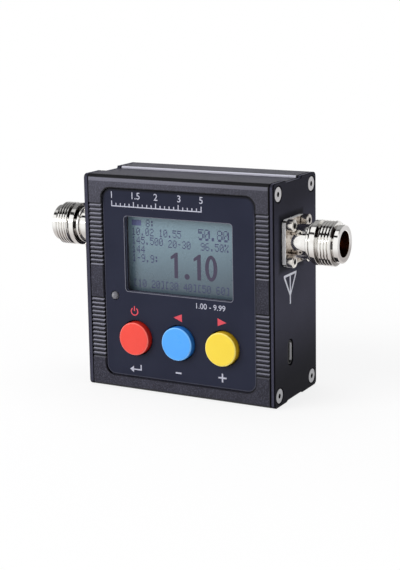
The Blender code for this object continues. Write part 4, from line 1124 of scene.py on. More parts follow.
@dataclass
class Planes:
    """The planes and middles that the CAD nodes give, and the front's openings."""

    front: float = field(init=False)
    rear: float = field(init=False)
    top: float = field(init=False)
    label_front: float = field(init=False)
    plate_outer: float = field(init=False)
    socket: Vector = field(init=False)
    window: Vector = field(init=False)
    button_hole: float = 0.00695
    lamp_hole: float = 0.0018

    def __post_init__(self) -> None:
        """Read them off the frame."""
        shell_low, shell_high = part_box("front_shell")
        self.front = shell_low.y
        self.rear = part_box("rear_shell")[1].y
        self.top = shell_high.z
        self.label_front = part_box("front_label")[0].y
        self.plate_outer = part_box("right_end_plate")[1].x
        low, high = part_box("right_socket_contact")
        self.socket = (low + high) / 2
        low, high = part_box("display_gasket")
        self.window = (low + high) / 2

    def openings(self) -> list[list[Point]]:
        """Outline the window, the button holes and the lamp's hole, in X and Z."""
        outlines = [rounded_rectangle((0.0, self.window.z), *WINDOW_SIZE, WINDOW_CORNER)]
        holes = [(f"{colour}_button_cap", self.button_hole, 56) for colour in COLOURS]
        for node, radius, steps in (*holes, ("status_lamp", self.lamp_hole, 32)):
            x, _, z = middle_of(node)
            outlines.append(circle((x, z), radius, steps))
        return outlines


@dataclass
class CaseHalves:
    """The two extruded halves of the case."""

    planes: Planes
    corner: float = 0.0018
    edge: float = 0.00012
    front_wall: float = 0.0026
    rear_wall: float = 0.0020
    wall: float = 0.0020
    trough_start: float = 0.0104
    trough_ramp: float = 0.0011
    top_trough: float = 0.0009
    low_trough: float = 0.0005
    seam: float = 0.0242
    seam_gap: float = 0.0002
    lip: float = 0.00045
    lap: Point = (0.0016, 0.0008)
    rib_count: int = 15
    rib_pitch: float = 0.00167
    rib_groove: float = 0.0014
    rib_depth: float = 0.0006
    rib_bank: float = 0.0186
    recess: tuple[float, float, float, float] = (0.0656, 0.0740, 0.0040, 0.0015)

    def ribs(self) -> list[Point]:
        """List the grooves down the front face, their crests rounded over."""
        front, middle, points = self.planes.front, self.planes.top / 2, []
        half, depth, slope = self.rib_groove / 2, self.rib_depth, self.rib_groove * 0.36
        for bank in (middle + self.rib_bank, middle - self.rib_bank):
            for index in range(self.rib_count):
                level = bank + self.rib_pitch * ((self.rib_count - 1) / 2 - index)
                points += [(front, level + half), (front + depth * 0.2, level + half * 0.9)]
                points += [(front + depth, level + half * 0.5), (front + depth, level)]
                points.append((front, level - slope))
        return points

    def front_outline(self) -> list[Point]:
        """Draw the front half's section in depth and height."""
        front, top, radius = self.planes.front, self.planes.top, self.corner
        seam, trough = front + self.seam, front + self.trough_start
        ceiling, floor = top - self.top_trough - self.wall, self.low_trough + self.wall
        inner, lap_end, lap = front + self.front_wall, front + self.seam + self.lap[0], self.lap[1]
        points = [(seam, top - self.top_trough), (trough + self.trough_ramp, top - self.top_trough)]
        points.append((trough, top))
        points += arc((front + radius, top - radius), radius, 90.0, 180.0, 10)
        points += self.ribs()
        points += arc((front + radius, radius), radius, 180.0, 270.0, 10)
        points += [(trough, 0.0), (trough + self.trough_ramp, self.low_trough), (seam, self.low_trough)]
        points += [(seam, floor - lap), (lap_end, floor - lap), (lap_end, floor), (inner, floor)]
        points += [(inner, ceiling), (lap_end, ceiling), (lap_end, ceiling + lap), (seam, ceiling + lap)]
        return points

    def rear_outline(self) -> list[Point]:
        """Draw the rear half's section in depth and height."""
        rear, top, radius = self.planes.rear, self.planes.top, self.corner
        lip = self.planes.front + self.seam + self.seam_gap
        ceiling, floor = top - self.top_trough - self.wall, self.low_trough + self.wall
        rebate_end, rebate = lip + self.lap[0] + self.seam_gap, self.lap[1] + self.seam_gap
        inner = rear - self.rear_wall
        points = [(lip, ceiling + rebate), (lip, top - self.lip), (lip + self.lip, top)]
        points += arc((rear - radius, top - radius), radius, 90.0, 0.0, 10)
        points += arc((rear - radius, radius), radius, 0.0, -90.0, 10)
        points += [(lip + self.lip / 2, 0.0), (lip, self.lip / 2), (lip, floor - rebate)]
        points += [(rebate_end, floor - rebate), (rebate_end, floor), (inner, floor)]
        points += [(inner, ceiling), (rebate_end, ceiling), (rebate_end, ceiling + rebate)]
        return points

    def recess_cutter(self) -> Mesh:
        """Make the recess's cutter, flared at the face so that the recess has an eased edge."""
        width, height, radius, depth = self.recess
        middle, ease = (0.0, self.planes.top / 2), self.edge * 1.6
        rings = []
        for grow, level in ((ease * 3, -ease * 2), (ease, 0.0), (0.0, ease), (0.0, depth)):
            outline = rounded_rectangle(middle, width + 2 * grow, height + 2 * grow, radius + grow, 10)
            rings.append([Vector((x, self.planes.front + level, z)) for x, z in outline])
        return skin(rings, False, Matrix.Identity(4), "recess_tool")

    def openings(self) -> list[Mesh]:
        """Make the cutters of the window, the button holes and the lamp's hole."""
        place, depth = Facing.FRONT.at(0.0, self.planes.front + self.front_wall / 2, 0.0), 2 * self.front_wall
        return [slab([outline], depth, place, "opening_tool") for outline in self.planes.openings()]

    def build(self) -> None:
        """Make both halves."""
        width, place = 2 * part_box("front_shell")[1].x, Facing.RIGHT.at(0.0, 0.0, 0.0)
        front = slab([self.front_outline()], width, place, "front_half", self.edge)
        front = carved(front, [self.recess_cutter(), *self.openings()])
        piece("front_case_half", front, "case", Finishes.front_half, ["front_shell"], 30.0)
        rear = slab([self.rear_outline()], width, place, "rear_half", self.edge)
        piece("rear_case_half", rear, "case", Finishes.rear_half, ["rear_shell"], 30.0)


@dataclass
class FrontLabel:
    """The printed film in the front recess."""

    planes: Planes
    edge: float = 0.00008
    corner: float = 0.0037

    def build(self) -> None:
        """Make the film."""
        low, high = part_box("front_label")
        x, y, z = middle_of("front_label")
        border = rounded_rectangle((x, z), high.x - low.x, high.z - low.z, self.corner, 10)
        place = Facing.FRONT.at(0.0, y, 0.0)
        film = slab([border, *self.planes.openings()], high.y - low.y, place, "film", self.edge)
        piece("printed_film", film, "case", Finishes.label, ["front_label"])


@dataclass
class Prints:
    """Screen-printed marks on the film and on the right plate."""

    planes: Planes
    thickness: float = 0.00003
    ring_radius: float = 0.0017
    stroke: float = 0.00048
    sign_stroke: float = 0.0006
    scale_span: Triple = (-0.0285, 0.0105, 0.0720)
    tick: float = 0.0004

    def stamp(self, name: str, outlines: Sequence[Sequence[Point]], ink: Finish) -> None:
        """Print one mark on the film, its outlines in X and Z."""
        place = Facing.FRONT.at(0.0, self.planes.label_front - self.thickness / 2, 0.0)
        meshes = [slab([outline], self.thickness, place, name) for outline in outlines]
        piece(name, joined(meshes, name), "case", ink)

    def numerals(self, name: str, text: str, middle: Point, height: float) -> None:
        """Print plain numerals, centred on a point."""
        curve = bpy.data.curves.new(name, "FONT")
        curve.body = text
        curve.size = height / 0.73
        curve.offset = height * 0.008
        curve.align_x, curve.align_y = "CENTER", "CENTER"
        curve.extrude = self.thickness / 2
        place = Facing.FRONT.at(middle[0], self.planes.label_front - self.thickness / 2, middle[1])
        piece(name, solid_from_curve(curve, place, name), "case", Finishes.print_white)

    def scale(self) -> None:
        """Print a plain ratio scale over the window."""
        (left, right, base), tick = self.scale_span, self.tick
        stops = (("1", 0.0), ("1.5", 0.27), ("2", 0.5), ("3", 0.76), ("5", 1.0))
        ticks = [rectangle(((left + right) / 2, base), right - left + tick, tick)]
        for index in range(21):
            tall = 0.0018 if index % 5 == 0 else 0.0010
            across = left + (right - left) * index / 20
            ticks.append(rectangle((across, base + tick / 2 + tall / 2), tick, tall))
        self.stamp("scale_ticks", ticks, Finishes.print_white)
        for index, (text, share) in enumerate(stops):
            place = (left + (right - left) * share, base + 0.0042)
            self.numerals(f"scale_numeral_{index + 1}", text, place, 0.0027)

    def power(self, middle: Point) -> None:
        """Print the power mark: an open ring with a stroke."""
        outer = arc(middle, self.ring_radius, -235.0, 55.0, 36)
        inner = arc(middle, self.ring_radius - self.stroke, 55.0, -235.0, 36)
        stroke = rectangle((middle[0], middle[1] + 0.0011), self.stroke, 0.0019)
        self.stamp("power_mark", [outer + inner, stroke], Finishes.print_red)

    def enter(self, middle: Point) -> None:
        """Print the enter mark: an arrow that turns back to the left."""
        x, z = middle
        head = [(x - 0.0026, z - 0.0003), (x - 0.0009, z + 0.0010), (x - 0.0009, z - 0.0016)]
        bend = [(x - 0.0010, z - 0.00055), (x + 0.0026, z - 0.00055), (x + 0.0026, z + 0.0017)]
        bend += [(x + 0.0021, z + 0.0017), (x + 0.0021, z - 0.00005), (x - 0.0010, z - 0.00005)]
        self.stamp("enter_mark", [head, bend], Finishes.print_white)

    def build(self) -> None:
        """Print every mark."""
        self.scale()
        self.numerals("range_numerals", "1.00 - 9.99", (0.0136, 0.0360), 0.0022)
        self.power((-0.0195, 0.0312))
        self.enter((-0.0195, 0.0084))
        steps = (("step_back_mark", -0.0004, 0.0306, -1), ("step_on_mark", 0.0185, 0.0307, 1))
        for name, x, z, sign in steps:
            tip, tail = x + sign * 0.0018, x - sign * 0.0018
            self.stamp(name, [[(tip, z), (tail, z + 0.0015), (tail, z - 0.0015)]], Finishes.print_red)
        stroke = self.sign_stroke
        self.stamp("minus_mark", [rectangle((-0.0005, 0.0089), 0.0025, stroke)], Finishes.print_white)
        x, z = 0.0184, 0.0093
        plus = [rectangle((x, z), 0.0034, stroke)]
        plus += [rectangle((x, z + sign * 0.001), stroke, 0.0014) for sign in (-1, 1)]
        self.stamp("plus_mark", plus, Finishes.print_white)
        self.antenna()

    def antenna(self) -> None:
        """Print the antenna mark under the right socket."""
        depth, level, stroke = self.planes.front + 0.0140, 0.0428, 0.0009
        mast = rectangle((depth, level - 0.0002), stroke, 0.0108)
        arms = []
        for sign in (-1, 1):
            arms.append([
                (depth + sign * stroke / 2, level - 0.0010), (depth + sign * 0.0044, level + 0.0052),
                (depth + sign * 0.0056, level + 0.0052), (depth + sign * stroke / 2, level - 0.0024),
            ])
        bar = rectangle((depth, level + 0.0056), 0.0112, stroke)
        place = Facing.RIGHT.at(self.planes.plate_outer + self.thickness / 2, 0.0, 0.0)
        meshes = [slab([outline], self.thickness, place, "antenna") for outline in (mast, *arms, bar)]
        piece("antenna_mark", joined(meshes, "antenna"), "case", Finishes.print_side)


GLYPHS = {
    "0": "01110 10001 10011 10101 11001 10001 01110", "1": "00100 01100 00100 00100 00100 00100 01110",
    "2": "01110 10001 00001 00110 01000 10000 11111", "3": "01110 10001 00001 00110 00001 10001 01110",
    "4": "00010 00110 01010 10010 11111 00010 00010", "5": "11111 10000 11110 00001 00001 10001 01110",
    "6": "01110 10000 10000 11110 10001 10001 01110", "8": "01110 10001 10001 01110 10001 10001 01110",
    "9": "01110 10001 10001 01111 00001 00001 01110", ".": "00000 00000 00000 00000 00000 01100 01100",
    "%": "11001 11001 00010 00100 01000 10011 10011", ":": "00000 01100 01100 00000 01100 01100 00000",
    "[": "01110 01000 01000 01000 01000 01000 01110", "]": "01110 00010 00010 00010 00010 00010 01110",
    " ": "00000 00000 00000 00000 00000 00000 00000", "-": "00000 00000 00000 01110 00000 00000 00000",
}
GLYPH_SIZE = (5, 7)


@dataclass
class DisplayFace:
    """What the liquid crystal shows, drawn as dots on its glass."""

    planes: Planes
    columns: int = 128
    rows: int = 64
    width: float = 0.0428
    height: float = 0.0275
    left: float = -0.0228
    gap: float = 0.16
    thickness: float = 0.00004
    grid: set[tuple[int, int]] = field(default_factory=set)

    def text(self, words: str, column: int, row: int, size: tuple[int, int] = GLYPH_SIZE,
             pitch: int = 6) -> None:
        """Draw a line of dot characters.

        Args:
            words: The characters.
            column: The column of the first one's left edge.
            row: The row of its top.
            size: How many dots wide and tall each is.
            pitch: How many columns lie from one to the next.
        """
        for place, letter in enumerate(words):
            for down, line in enumerate(GLYPHS[letter].split()):
                for across, lit in enumerate(line):
                    if lit == "1":
                        left, right = (step * size[0] // GLYPH_SIZE[0] for step in (across, across + 1))
                        upper, lower = (step * size[1] // GLYPH_SIZE[1] for step in (down, down + 1))
                        self.block(column + place * pitch + left, row + upper, right - left, lower - upper)

    def block(self, column: int, row: int, width: int, height: int) -> None:
        """Fill a block of dots."""
        self.grid.update((column + x, row + y) for x in range(width) for y in range(height))

    def dots(self) -> Mesh:
        """Turn the lit dots into thin blocks on the glass."""
        low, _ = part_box("display_glass")
        wide, tall = self.width / self.columns, self.height / self.rows
        top = self.planes.window.z + self.height / 2 - 0.0005
        shape = bmesh.new()
        for row in range(self.rows):
            for column in range(self.columns):
                if (column, row) not in self.grid:
                    continue
                left, upper = self.left + column * wide, top - row * tall
                near = (left, low.y - self.thickness, upper - tall * (1 - self.gap))
                far = (left + wide * (1 - self.gap), low.y, upper)
                shape.from_mesh(brick(near, far, "dot"))
        made = bpy.data.meshes.new("dots")
        shape.to_mesh(made)
        shape.free()
        return made

    def big(self, left: float, low: float, height: float) -> Mesh:
        """Draw the large reading as smooth figures on the glass."""
        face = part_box("display_glass")[0].y
        place = Facing.FRONT.at(0.0, face - self.thickness / 2, 0.0)
        stroke = height * 0.155

        def one(x: float) -> list[list[Point]]:
            """Outline a one with its flag."""
            return [[
                (x, low), (x + stroke, low), (x + stroke, low + height), (x + stroke * 0.45, low + height),
                (x - stroke, low + height * 0.83), (x - stroke, low + height * 0.72),
                (x, low + height * 0.79),
            ]]

        def nought(x: float) -> list[list[Point]]:
            """Outline a nought as a tall ring."""
            half, middle, rise = height * 0.26, low + height / 2, height / 2
            turn = circle((0.0, 0.0), 1.0)
            outer = [(x + half + half * across, middle + rise * up) for across, up in turn]
            inner = [(x + half + (half - stroke) * across, middle + (rise - stroke * 0.9) * up)
                     for across, up in turn]
            return [outer, inner]

        shapes = [one(left), [circle((left + height * 0.55, low + stroke * 0.6), stroke * 0.72, 24)]]
        shapes += [one(left + height), nought(left + height * 1.34)]
        return joined([slab(outlines, self.thickness, place, "figure") for outlines in shapes], "reading")

    def build(self) -> None:
        """Draw the display's face."""
        self.text("8:", 21, 0)
        self.text("10.02 10.55", 2, 8)
        self.text("145.500", 2, 16)
        self.text("20-30", 50, 17)
        self.text("96.50%", 92, 17)
        self.text("144", 2, 24)
        self.text("1-9.9:", 2, 32)
        self.text("[10 20][30 40][50 60]", 3, 55)
        self.text("50.80", 89, 5, (7, 10), 8)
        face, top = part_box("display_glass")[0].y, self.planes.window.z + self.height / 2
        place = Facing.FRONT.at(0.0, face - self.thickness / 2, 0.0)
        cell = rounded_rectangle((-0.0200, top - 0.0020), 0.0042, 0.0022, 0.0003, 3)
        piece("crystal_cell_mark", slab([cell], self.thickness, place, "cell"), "case", Finishes.blue_dots)
        piece("crystal_small_figures", self.dots(), "case", Finishes.dots)
        reading = self.big(-0.0036, self.planes.window.z - 0.0086, 0.0099)
        piece("crystal_reading", reading, "case", Finishes.bold_dots)


@dataclass
class EndPlate:
    """One end plate of the case, with its countersinks and the four screws in them."""

    planes: Planes
    side: Side
    edge: float = 0.0003
    screw_inset: float = 0.0042
    head: float = 0.00275
    shank: float = 0.0015
    rim: float = 0.0001
    length: float = 0.0079
    key: float = 0.0018
    key_depth: float = 0.0010
    socket_hole: float = 0.0047
    port_gap: float = 0.0011

    def screw_places(self) -> list[Point]:
        """Give the depth and height of the four screws."""
        depths = (self.planes.front + self.screw_inset, self.planes.rear - self.screw_inset)
        levels = (self.screw_inset, self.planes.top - self.screw_inset)
        return [(depth, level) for depth in depths for level in levels]

    def outline(self) -> list[Point]:
        """Draw the case's whole section, with its troughs."""
        front, rear, top, case = self.planes.front, self.planes.rear, self.planes.top, CaseHalves(self.planes)
        trough = front + case.trough_start
        ramp = trough + case.trough_ramp
        lip, radius = front + case.seam + case.seam_gap, case.corner
        points = [(ramp, top - case.top_trough), (trough, top)]
        points += arc((front + radius, top - radius), radius, 90.0, 180.0, 10)
        points += arc((front + radius, radius), radius, 180.0, 270.0, 10)
        points += [(trough, 0.0), (ramp, case.low_trough), (lip, case.low_trough), (lip + case.lip, 0.0)]
        points += arc((rear - radius, radius), radius, -90.0, 0.0, 10)
        points += arc((rear - radius, top - radius), radius, 0.0, 90.0, 10)
        return points + [(lip + case.lip, top), (lip, top - case.top_trough)]

    def holes(self) -> list[list[Point]]:
        """List the holes behind the socket and the charging slot."""
        holes = [circle((self.planes.socket.y, self.planes.socket.z), self.socket_hole, 40)]
        if self.side is Side.RIGHT:
            low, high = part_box("usb_shell")
            size = (high.y - low.y + self.port_gap, high.z - low.z + self.port_gap)
            holes.append(rounded_rectangle(middle_of("usb_shell")[1:], *size, size[0] / 2 - 0.00001, 12))
        return holes

    def cones(self) -> list[Mesh]:
        """Make the countersinks' cutters."""
        wide = self.head + 0.0004
        cutters = []
        for depth, level in self.screw_places():
            place = self.side.outward.at(self.side.value * self.planes.plate_outer, depth, level)
            rows = [(0.0, 0.001), (wide + 0.00015, 0.001), (wide + 0.00015, 0.0), (wide, -0.00015)]
            rows += [(self.shank, self.shank - wide - 0.00015), (0.0, self.shank - wide - 0.00015)]
            cutters.append(turned(rows, place, "cone_tool", 40))
        return cutters

    def screw(self, number: int, depth: float, level: float) -> None:
        """Make one countersunk screw with its key hole."""
        place = self.side.outward.at(self.side.value * self.planes.plate_outer, depth, level)
        head, rim, shank = self.head, self.rim, self.shank
        profile = [(0.0, -rim), (head, -rim), (head, -2.5 * rim), (shank, shank - head - 2.5 * rim)]
        profile += [(shank, -self.length), (0.0, -self.length)]
        mesh = turned(softened(profile, 0.00012), place, "screw", 40)
        mesh = keyed(mesh, place, -rim, self.key, self.key_depth)
        name = f"{self.side.word}_plate_screw"
        # The lower screws take the darker copy of the steel: painted shade.
        finish = Finishes.steel if level > self.planes.top / 2 else Finishes.low_steel
        item = piece(f"{name}_head_{number}", mesh, "case", finish, [f"{name}_{number}"])
        outer, axis = self.planes.plate_outer, Vector((0.0, depth, level))
        in_key = near_axis(axis, self.key * 0.56, outer - 0.0015, outer - rim * 1.5)
        # Painted shade inside the key hole.
        second_finish(item, Finishes.recess, in_key)

    def build(self) -> None:
        """Make the plate and its screws."""
        low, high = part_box(f"{self.side.word}_end_plate")
        place = Facing.RIGHT.at((low.x + high.x) / 2, 0.0, 0.0)
        plate = slab([self.outline(), *self.holes()], high.x - low.x, place, "plate", self.edge)
        plate = carved(plate, self.cones())
        name = f"{self.side.word}_end_plate"
        piece(f"{self.side.word}_side_plate", plate, "case", Finishes.plate, [name], 30.0)
        for index, (depth, level) in enumerate(self.screw_places()):
            self.screw(index + 1, depth, level)


@dataclass
class RadioSocket:
    """One threaded radio socket with its flange, screws, bead and contact."""

    planes: Planes
    side: Side
    flange_side: float = 0.0176
    flange_radius: float = 0.0022
    flange: float = 0.0016
    seat: float = 0.0002
    neck: Point = (0.0065, 0.0078)
    ring: Point = (0.0073, 0.0010)
    step: Point = (0.0064, 0.0008)
    collar: Point = (0.00845, 0.0021)
    relief: Point = (0.0068, 0.0009)
    thread: Point = (0.00845, 0.00062)
    pitch: float = 0.00121
    turns: float = 4.5
    lead_in: Point = (0.00715, 0.00245)
    mouth: Point = (0.0049, 0.0088)
    mouth_edge: float = 0.0002
    shelf: float = 0.0035
    spigot: float = 0.0044
    tail: float = 0.0018
    bead_back: float = -0.0021
    bead_bore: Point = (0.0018, 0.0032)
    screw_offset: float = 0.0067
    screw_head: float = 0.0023
    screw_length: float = 0.0025
    screw_shank: float = 0.00125
    screw_hole: float = 0.00155
    screw_key: float = 0.0020
    screw_key_depth: float = 0.0012

    def place(self, out: float = 0.0, depth: float = 0.0, level: float = 0.0) -> Matrix:
        """Lay a shape on the socket's axis, its own Z pointing out of the case."""
        x = self.side.value * (self.planes.plate_outer + out)
        return self.side.outward.at(x, self.planes.socket.y + depth, self.planes.socket.z + level)

    def thread_rows(self, start: float) -> list[Row]:
        """List the rows of the helical thread, from its outer end to its inner end."""
        crest, depth = self.thread
        length = self.turns * self.pitch
        count = round(self.turns * 12)

        def reach(height: float) -> Callable[[float], float]:
            """Give the radius round one row."""
            ease = 0.4 * self.pitch
            fade = min(1.0, (height - start) / ease, (start + length - height) / ease)

            def at(angle: float) -> float:
                """Give the radius at one angle."""
                phase = ((height - start) / self.pitch + self.side.value * angle / (2 * math.pi)) % 1.0
                tooth = min(1.0, max(0.0, 2.6 - abs(phase - 0.5) * 6.0))
                return crest - depth + depth * tooth * max(0.0, fade)

            return at

        heights = [start + length * (1 - index / count) for index in range(count + 1)]
        return [(reach(height), height) for height in heights]

    def barrel(self) -> tuple[Mesh, float]:
        """Turn the barrel and give the height of its mouth."""
        neck = self.seat + self.flange
        step = neck + self.neck[1]
        collar = step + self.step[1]
        relief = collar + self.collar[1]
        thread = relief + self.relief[1]
        lead = thread + self.turns * self.pitch
        mouth = lead + self.lead_in[1]
        shelf = mouth - self.mouth[1]
        root = self.thread[0] - self.thread[1]
        edge = self.mouth_edge
        outer = [(self.mouth[0] + edge, mouth), (self.lead_in[0] - 0.0003, mouth)]
        outer += [(self.lead_in[0], mouth - 0.0003), (self.lead_in[0], lead + 0.0006)]
        outer += [(self.lead_in[0] - 0.0004, lead + 0.0006), (self.lead_in[0] - 0.0004, lead + 0.0001)]
        outer.append((root, lead))
        inner = [(root, thread), (self.relief[0], thread - 0.0001), (self.relief[0], relief)]
        inner += [(self.collar[0], relief), (self.collar[0], collar), (self.step[0], collar)]
        inner += [(self.step[0], step), (self.ring[0], step), (self.ring[0], step - self.ring[1])]
        inner += [(self.neck[0], step - self.ring[1]), (self.neck[0], neck - 0.0004)]
        inner.append((self.spigot, neck - 0.0004))
        inner += [(self.spigot, -self.tail), (self.shelf, -self.tail), (self.shelf, shelf)]
        inner += [(self.mouth[0], shelf), (self.mouth[0], mouth - edge), (self.mouth[0] + edge, mouth)]
        rows = softened(outer, 0.00015)[:-1] + self.thread_rows(thread) + softened(inner, 0.00018)[1:-1]
        name = f"{self.side.word}_socket_barrel"
        return turned(rows, self.place(), name, 96, True), mouth

    def flange_plate(self) -> Mesh:
        """Make the square flange with its holes."""
        outline = rounded_rectangle((0.0, 0.0), self.flange_side, self.flange_side, self.flange_radius, 8)
        holes = [circle((0.0, 0.0), self.neck[0] - 0.0006, 64)]
        for across, up in CORNERS:
            holes.append(circle((across * self.screw_offset, up * self.screw_offset), self.screw_hole, 24))
        lifted = self.place(self.seat + self.flange / 2)
        return slab([outline, *holes], self.flange, lifted, "flange", 0.00016)

    def screw(self, number: int, across: float, up: float) -> None:
        """Make one cap screw with its key hole."""
        seat = self.seat + self.flange + self.seat
        top = seat + self.screw_length
        head, shank = self.screw_head, self.screw_shank
        profile = [(0.0, top), (head - 0.0003, top), (head, top - 0.0003), (head, seat)]
        profile += [(shank, seat), (shank, -self.tail), (0.0, -self.tail)]
        place = self.place(0.0, across * self.screw_offset, up * self.screw_offset)
        mesh = turned(softened(profile, 0.00015), place, "screw", 40)
        mesh = keyed(mesh, place, top, self.screw_key, self.screw_key_depth)
        name = f"{self.side.word}_socket_screw"
        item = piece(f"{name}_head_{number}", mesh, "case", Finishes.cap_screw, [f"{name}_{number}"])
        axis = Vector((0.0, self.planes.socket.y + across * self.screw_offset,
                       self.planes.socket.z + up * self.screw_offset))
        face = self.planes.plate_outer + top
        in_key = near_axis(axis, self.screw_key * 0.56, face - 0.002, face - 0.0001)
        # Painted shade inside the key hole.
        second_finish(item, Finishes.recess, in_key)

    def contact(self, mouth: float) -> None:
        """Turn the gold contact, open at its tip and slit in four."""
        tip = mouth - 0.0053
        profile = [(0.0, tip - 0.0040), (0.0008, tip - 0.0040), (0.0008, tip - 0.0002), (0.0010, tip)]
        profile += [(0.0013, tip), (0.0015, tip - 0.0003), (0.0015, -0.0021), (0.00065, -0.0021)]
        profile += [(0.00065, -0.0045), (0.0, -0.0045)]
        mesh = turned(softened(profile, 0.00008), self.place(), "contact", 40)
        slits = []
        for quarter in (0.0, 90.0):
            turn = Matrix.Rotation(math.radians(quarter), 4, "Z")
            low, high = (-0.002, -0.00012, tip - 0.0034), (0.002, 0.00012, tip + 0.001)
            slit = brick(low, high, "slit_tool")
            slit.transform(self.place() @ turn)
            slits.append(slit)
        name = f"{self.side.word}_socket_contact"
        piece(f"{self.side.word}_centre_contact", carved(mesh, slits), "case", Finishes.gold, [name])

    def bead(self) -> None:
        """Turn the white bead that holds the contact."""
        low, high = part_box(f"{self.side.word}_socket_bead")
        front, back = self.bead_back + high.x - low.x, self.bead_back
        bore, rim = self.bead_bore
        profile = [(bore, front - 0.0003), (rim, front), (rim, back), (bore, back)]
        mesh = turned(softened(profile, 0.0001, True), self.place(), "bead", 48, True)
        name = f"{self.side.word}_socket_bead"
        piece(f"{self.side.word}_contact_bead", mesh, "case", Finishes.white, [name])

    def build(self) -> None:
        """Make the socket's pieces."""
        barrel, mouth = self.barrel()
        node = f"{self.side.word}_socket_body"
        item = piece(f"{self.side.word}_socket_barrel", barrel, "case", Finishes.barrel, [node], 50.0)
        outer, axis = self.planes.plate_outer, Vector((0.0, self.planes.socket.y, self.planes.socket.z))
        in_bore = near_axis(axis, self.mouth[0] + 0.0001, 0.0, outer + mouth - self.mouth_edge)
        # Painted shade inside the bore.
        second_finish(item, Finishes.bore, in_bore)
        # The flange takes the darker nickel: painted shade.
        plate = piece(f"{self.side.word}_socket_flange", self.flange_plate(), "case", Finishes.flange, [node])
        half = self.flange_side / 2 - 0.0001

        def on_rim(middle: Vector) -> bool:
            """Tell whether a face lies on the flange's rim."""
            return abs(middle.y - axis.y) > half or abs(middle.z - axis.z) > half or (
                min(half - abs(middle.y - axis.y), half - abs(middle.z - axis.z)) < 0.0004
                and abs(abs(middle.x) - outer - self.seat - self.flange / 2) < self.flange / 2 - 0.00002)

        second_finish(plate, Finishes.flange_edge, on_rim)
        for index, (across, up) in enumerate(CORNERS):
            self.screw(index + 1, across, up)
        self.bead()
        self.contact(mouth)


@dataclass
class PushButton:
    """One round push-button cap."""

    colour: str
    finish: Finish
    edge: float = 0.0006
    wall: float = 0.0012
    top: float = 0.0016
    boss: Point = (0.0036, 0.0034)
    stem: float = 0.0044

    def build(self) -> None:
        """Turn the cap, with a slight crown on its face."""
        low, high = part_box(f"{self.colour}_button_cap")
        radius, length = (high.x - low.x) / 2, high.y - low.y
        inner, edge = radius - self.wall, self.edge
        crown = 0.00012
        profile = [(0.0, 0.0), (radius * 0.45, -crown * 0.3), (radius - edge, -crown)]
        profile += arc((radius - edge, -edge - crown), edge, 85.0, 0.0, 8)
        profile += [(radius, -length + 0.0002), (radius - 0.0002, -length), (inner, -length)]
        profile += [(inner, -self.top), (self.boss[0], -self.top), (self.boss[0], -self.top - self.boss[1])]
        profile += [(0.0, -self.top - self.boss[1])]
        place = Facing.FRONT.at((low.x + high.x) / 2, low.y, (low.z + high.z) / 2)
        mesh = turned(profile, place, "cap", 72)
        half = self.stem / 2
        hole = brick((-half, -half, -self.top - self.boss[1] - 0.001), (half, half, -self.top), "stem_tool")
        hole.transform(place)
        name = f"{self.colour}_button_cap"
        piece(f"{self.colour}_push_cap", carved(mesh, [hole]), f"{self.colour}_button", self.finish, [name])


@dataclass
class StatusLamp:
    """The small indicator lamp beside the window."""

    radius: float = 0.0015
    flange: Point = (0.0019, 0.0009)
    length: float = 0.0048
    lead: float = 0.0005

    def build(self) -> None:
        """Turn the lamp's lens and add its two leads."""
        low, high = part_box("status_lamp")
        x, _, z = middle_of("status_lamp")
        profile = [(0.0, 0.0), *arc((0.0, -self.radius), self.radius, 90.0, 0.0, 12)[1:]]
        rim, height = self.flange
        profile += [(self.radius, height - self.length), (rim, height - self.length)]
        profile += [(rim, -self.length), (0.0, -self.length)]
        lens = turned(profile, Facing.FRONT.at(x, low.y, z), "lens", 40)
        seat = low.y + self.length
        piece("lamp_lens", lens, "case", Finishes.lens, ["status_lamp"])
        place = Facing.FRONT.at(0.0, (high.y + seat) / 2, 0.0)
        for number, sign in enumerate((-1, 1)):
            lead = rounded_rectangle((x + sign * self.lead, z), self.lead, self.lead, 0.0001, 3)
            mesh = slab([lead], high.y - seat, place, "lead", 0.00004)
            piece(f"lamp_lead_{number + 1}", mesh, "case", Finishes.steel, ["status_lamp"])


@dataclass
class ChargingPort:
    """The charging socket behind the slot in the right plate."""

    sheet: float = 0.0003
    edge: float = 0.00008
    corner: float = 0.00155
    contacts: int = 12
    contact_pitch: float = 0.0005
    contact: Point = (0.00012, 0.00004)

    def build(self) -> None:
        """Make the drawn shell with its back, and the tongue with its contacts."""
        low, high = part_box("usb_shell")
        middle = middle_of("usb_shell")[1:]
        wide, tall = high.y - low.y, high.z - low.z
        rings = []
        sheet, edge = self.sheet, self.edge
        steps = ((0.0, low.x), (0.0, high.x - edge), (edge, high.x), (sheet - edge, high.x))
        for inset, x in (*steps, (sheet, high.x - edge), (sheet, low.x + sheet)):
            size = (wide - 2 * inset, tall - 2 * inset)
            outline = rounded_rectangle(middle, *size, self.corner - inset, 10)
            rings.append([Vector((x, y, z)) for y, z in outline])
        mesh = skin(rings, False, Matrix.Identity(4), "shell")
        piece("charging_shell", mesh, "case", Finishes.port, ["usb_shell"])
        low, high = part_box("usb_tongue")
        x, y, z = middle_of("usb_tongue")
        outline = rounded_rectangle((y, z), high.y - low.y, high.z - low.z, 0.0003, 5)
        place = Facing.RIGHT.at(x, 0.0, 0.0)
        mesh = slab([outline], high.x - low.x, place, "tongue", 0.0001)
        piece("charging_tongue", mesh, "case", Finishes.black, ["usb_tongue"])
        strips = []
        half, thick = self.contact
        for face in (low.y - thick / 2, high.y - thick / 2):
            for index in range(self.contacts):
                level = z + (index - (self.contacts - 1) / 2) * self.contact_pitch
                near, far = (low.x + 0.001, face, level - half), (high.x - 0.0006, face + thick, level + half)
                strips.append(brick(near, far, "strip"))
        piece("charging_contacts", joined(strips, "strips"), "case", Finishes.gold)


